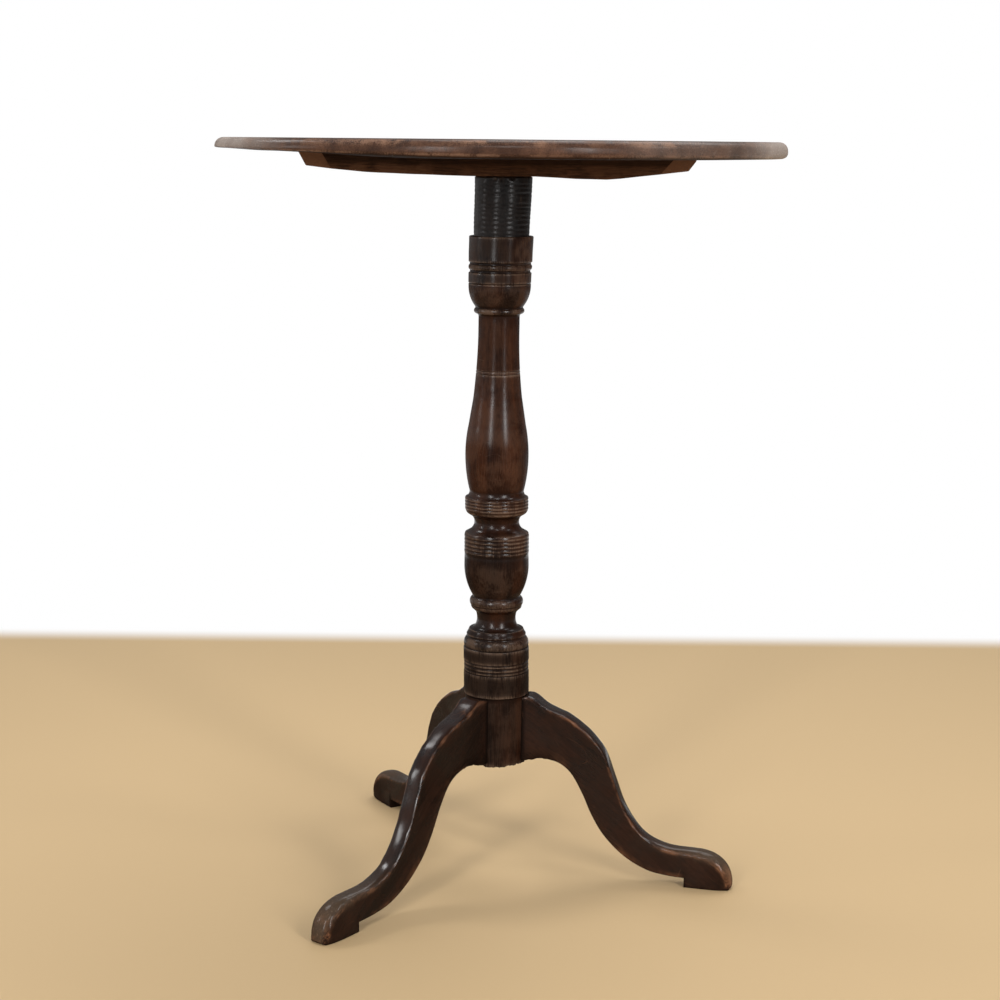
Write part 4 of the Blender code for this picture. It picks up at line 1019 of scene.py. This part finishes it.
# Round the tip of the toe: distance and height above, distance on the sole below, share of the thickness
LEG_TOE_shares = (
    (0.880, 0.200, 0.836, 1), (0.918, 0.187, 0.864, 1), (0.952, 0.162, 0.892, 1), (0.978, 0.127, 0.920, 0.98),
    (0.993, 0.087, 0.946, 0.93), (1.000, 0.048, 0.967, 0.85), (1.000, 0.018, 0.984, 0.73),
)
LEGS = (  # piece, node, bearing in degrees, reach
    ("right_leg", "leg_right", -12.5, 0.238),
    ("back_left_leg", "leg_back_left", 119.8, 0.259),
    ("front_left_leg", "leg_front_left", 231.5, 0.258),
)
LEG_THICKNESS, TOE_THICKNESS, LEG_WAISTING = 0.0285, 0.0240, 0.0076
LEG_CROWN, TOE_CROWN, CROWN_POWER = 0.0010, 0.0068, 3
LEG_LOWER_EASING = 0.0016
LEG_ARRIS = 0.0012
BELOW_ARRIS = ((0.0070, 0.0), (0.0040, 0.0), (0.0022, 0.03), (0.0010, 0.35))  # distance below it, wear there
PAD_HEIGHT, PAD_LENGTH = 0.0092, 0.0465
LEG_STATIONS = 130
SCRIBE_RADIUS = 0.0309
SCRIBE_FADE = 0.010
GRAIN_SLOPE = math.radians(38)


# %% Curves along a leg
def smooth_curve(points, steps):
    """A smooth curve of vectors through the points, with the same number of steps between each pair."""
    points = [Vector(point) for point in points]
    ends = [points[0] * 2 - points[1]] + points + [points[-1] * 2 - points[-2]]
    curve = [points[0]]
    for before, start, end, after in zip(ends, ends[1:], ends[2:], ends[3:]):
        for step in range(1, steps + 1):
            t = step / steps
            curve.append(
                (start * 2 + (end - before) * t + (before * 2 - start * 5 + end * 4 - after) * t * t
                 + (start * 3 - before - end * 3 + after) * t * t * t) / 2
            )
    return curve


def evenly_spaced(curve, count):
    """Count points at equal steps of length along a drawn curve, from where it leaves the pillar."""
    while curve[1].x < SCRIBE_RADIUS:
        curve = curve[1:]
    share = (SCRIBE_RADIUS - curve[0].x) / (curve[1].x - curve[0].x)
    curve = [curve[0].lerp(curve[1], share)] + curve[1:]
    lengths = [0.0]
    for start, end in zip(curve, curve[1:]):
        lengths.append(lengths[-1] + (end - start).length)
    spaced, place = [], 1
    for index in range(count):
        wanted = lengths[-1] * index / (count - 1)
        while place < len(curve) - 1 and lengths[place] < wanted:
            place += 1
        share = (wanted - lengths[place - 1]) / (lengths[place] - lengths[place - 1])
        spaced.append(curve[place - 1].lerp(curve[place], share))
    return spaced


def leg_stations(reach):
    """(upper point, lower point, share of the thickness) rows from the pillar to the tip of the toe."""
    heel = reach - PAD_LENGTH
    upper = [(x * reach, z * JOINT_TOP) for x, z in LEG_UPPER_shares]
    lower = [(x * reach, z * JOINT_TOP) for x, z in LEG_LOWER_shares] + [(heel, PAD_HEIGHT)]
    upper = evenly_spaced(smooth_curve(upper, 24), LEG_STATIONS)
    lower = evenly_spaced(smooth_curve(lower, 24), LEG_STATIONS)
    stations = [(above, below, 1.0) for above, below in zip(upper, lower)]
    toe = [(x * reach, z * JOINT_TOP, sole * reach, width) for x, z, sole, width in LEG_TOE_shares]
    toe = smooth_curve([(upper[-1].x, upper[-1].y, heel, 1)] + toe, 6)
    for step in (0.12, 0.45, 0.85, 1.0):
        above = Vector(toe[0][:2]).lerp(Vector(toe[6][:2]), 0.25 * step)
        stations.append((above, Vector((heel, PAD_HEIGHT * (1 - step))), 1.0))
    for x, z, sole, width in toe[2:]:
        stations.append((Vector((x, z)), Vector((max(sole, heel + 0.001), 0)), width))
    return stations


def leg_section(upper, lower, out, place, width):
    """The outline at one station as (y, point, arris) rows: flat sides, eased below, crowned above."""
    straight = LEG_THICKNESS + (TOE_THICKNESS - LEG_THICKNESS) * out
    half = width * (straight - LEG_WAISTING * 4 * out * (1 - out)) / 2
    rise = upper - lower
    up = rise.normalized()
    crown = min(LEG_CROWN + (TOE_CROWN - LEG_CROWN) * out ** CROWN_POWER, rise.length * 0.5)
    easing = min(LEG_LOWER_EASING, rise.length * 0.2)
    # Along the shin the eased lower arris is painted paler on top of its wear: a painted reflection of the
    # floor.
    below = 0.3 + 0.5 * smoothstep(0.45, 0.55, out) * smoothstep(0.86, 0.76, out)
    rows = []
    for side in (1, -1):
        uneven = 1 + 0.9 * wave(place, side, out, 0.02, 20) + 0.5 * wave(place, side, 0, 0.006, 21)
        blunt = LEG_ARRIS * uneven
        blunt = min(max(0.0005, blunt), rise.length * 0.25)
        sunk = min(0.0, 0.00035 * (wave(place, side * 3, 0, 0.016, 22) - 0.35))
        limb = [(half * share, lower, 0.0) for share in (0.0, 0.4, 0.75)]
        for step in range(5):
            angle = math.radians(90 * step / 4)
            limb.append((half - easing + easing * math.sin(angle),
                         lower + up * easing * (1 - math.cos(angle)), below))
        top = upper - up * (crown + blunt)
        low = lower + up * easing
        side_length = (top - low).length
        down = [min(distance, side_length * share)
                for (distance, _), share in zip(BELOW_ARRIS, (0.64, 0.48, 0.32, 0.16))]
        for share in (0.75, 0.5, 0.25):
            limb.append((half, top - up * (down[0] + (side_length - down[0]) * share), 0.0))
        limb += [(half, top - up * distance, wear) for distance, (_, wear) in zip(down, BELOW_ARRIS)]
        corner = upper - up * crown
        inner_y = half - blunt
        inner = upper - up * crown * (inner_y / half) ** 3
        for step in range(7):
            t = step / 6
            y = (1 - t) ** 2 * half + 2 * t * (1 - t) * half + t * t * inner_y
            point = top * (1 - t) ** 2 + corner * 2 * t * (1 - t) + inner * t * t
            limb.append((y + sunk, point + up * sunk, 1.0))
        for share in (0.86, 0.72, 0.56, 0.4, 0.2):
            y = inner_y * share / 0.93
            limb.append((y, upper - up * crown * (y / half) ** 3, 0.0))
        rows.append([(side * y, point, arris) for y, point, arris in limb])
    right, left = rows
    return right + [(0.0, upper, 0.0)] + left[:0:-1]


# %% Lofting a leg
def make_leg(name, node, bearing, reach):
    bm = bmesh.new()
    ridge, hollow, dust_and_sheen_mask, matt = paint_layers(bm, "ridge", "hollow", "dust_and_sheen_mask", "matt")
    leg_place = bm.verts.layers.float_vector.new("leg_place")
    along_grain = Vector((math.cos(GRAIN_SLOPE), 0, -math.sin(GRAIN_SLOPE)))
    across_grain = Vector((math.sin(GRAIN_SLOPE), 0, math.cos(GRAIN_SLOPE)))
    loops, length, before = [], 0.0, None
    for upper, lower, width in leg_stations(reach):
        middle = (upper + lower) / 2
        length += (middle - before).length if before else 0.0
        before = middle
        out = upper.x / reach
        loop = []
        for y, point, arris in leg_section(upper, lower, out, length + bearing, width):
            place = Vector((point.x, y, point.y))
            behind = SCRIBE_RADIUS - math.sqrt(SCRIBE_RADIUS ** 2 - y * y)
            fade = 1 - smoothstep(SCRIBE_RADIUS, SCRIBE_RADIUS + SCRIBE_FADE, point.x)
            rise = (point - lower).length / max(0.0001, (upper - lower).length)
            root = smoothstep(0.078, 0.052, point.x) * smoothstep(0.16, 0.0, rise)
            gnawed = wave(point.x, y, 0, 0.006, bearing) + 0.5 * wave(point.x, y, 0, 0.0026, 2) + 0.15
            bite = 0.0024 * root * max(0.0, gnawed)
            vert = bm.verts.new(place + Vector((-behind * fade, 0, bite)))
            vert[leg_place] = Vector((place.dot(along_grain) + bearing * 0.01, y, place.dot(across_grain)))
            patchy = wave(length, y, point.y, 0.016, bearing) + 0.5 * wave(length, y, point.y, 0.005, bearing)
            tip = smoothstep(0.955, 1.0, point.x / reach) * smoothstep(0.0, 0.006, point.y)
            nose = tip * (0.4 + 0.7 * patchy) if y > -0.004 or bearing > 180 else tip * (0.7 + 0.6 * patchy)
            vert[ridge] = min(1.0, max(0.0, arris * (0.42 + 0.55 * patchy) + nose))
            joint = smoothstep(SCRIBE_RADIUS + 0.004, SCRIBE_RADIUS + 0.0005, point.x)
            sole = smoothstep(0.0025, 0.0, point.y)
            from_heel = abs(point.x - (reach - PAD_LENGTH))
            heel = smoothstep(0.004, 0.0, from_heel) * smoothstep(0.02, 0.01, point.y)
            vert[hollow] = max(joint, sole, 0.8 * heel, 0.8 * smoothstep(0.3, 1.0, root))
            vert[matt] = 0.6 * smoothstep(0.88, 0.96, out)
            vert[dust_and_sheen_mask] = smoothstep(0.55, 0.92, out) * (0.05 + 0.95 * smoothstep(0.70, 0.98, rise))
            loop.append(vert)
        loops.append([bm.edges.new(pair) for pair in zip(loop, loop[1:] + loop[:1])])
    for inner, outer in zip(loops, loops[1:]):
        bmesh.ops.bridge_loops(bm, edges=inner + outer)
    for loop in (loops[0], loops[-1]):
        bmesh.ops.contextual_create(bm, geom=loop)
    turned = Matrix.Rotation(math.radians(bearing), 3, "Z")
    bmesh.ops.rotate(bm, verts=bm.verts, cent=(0, 0, 0), matrix=turned)
    finished_piece(name, bm, leg_finish, node, smooth=38)


for leg in LEGS:
    make_leg(*leg)

# %% [markdown]
# The hidden fastenings
#
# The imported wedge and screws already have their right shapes. They only get their finishes, put into the
# material slots that their objects already have.

# %% Wedge and screws
fastenings = {"neck_wedge": wedge_finish} | {f"bearer_screw_{n}": screw_finish for n in range(1, 7)}
for node, finish in fastenings.items():
    for slot in bpy.data.objects[node].material_slots:
        slot.material = finish
    print(node, "has", finish.name)
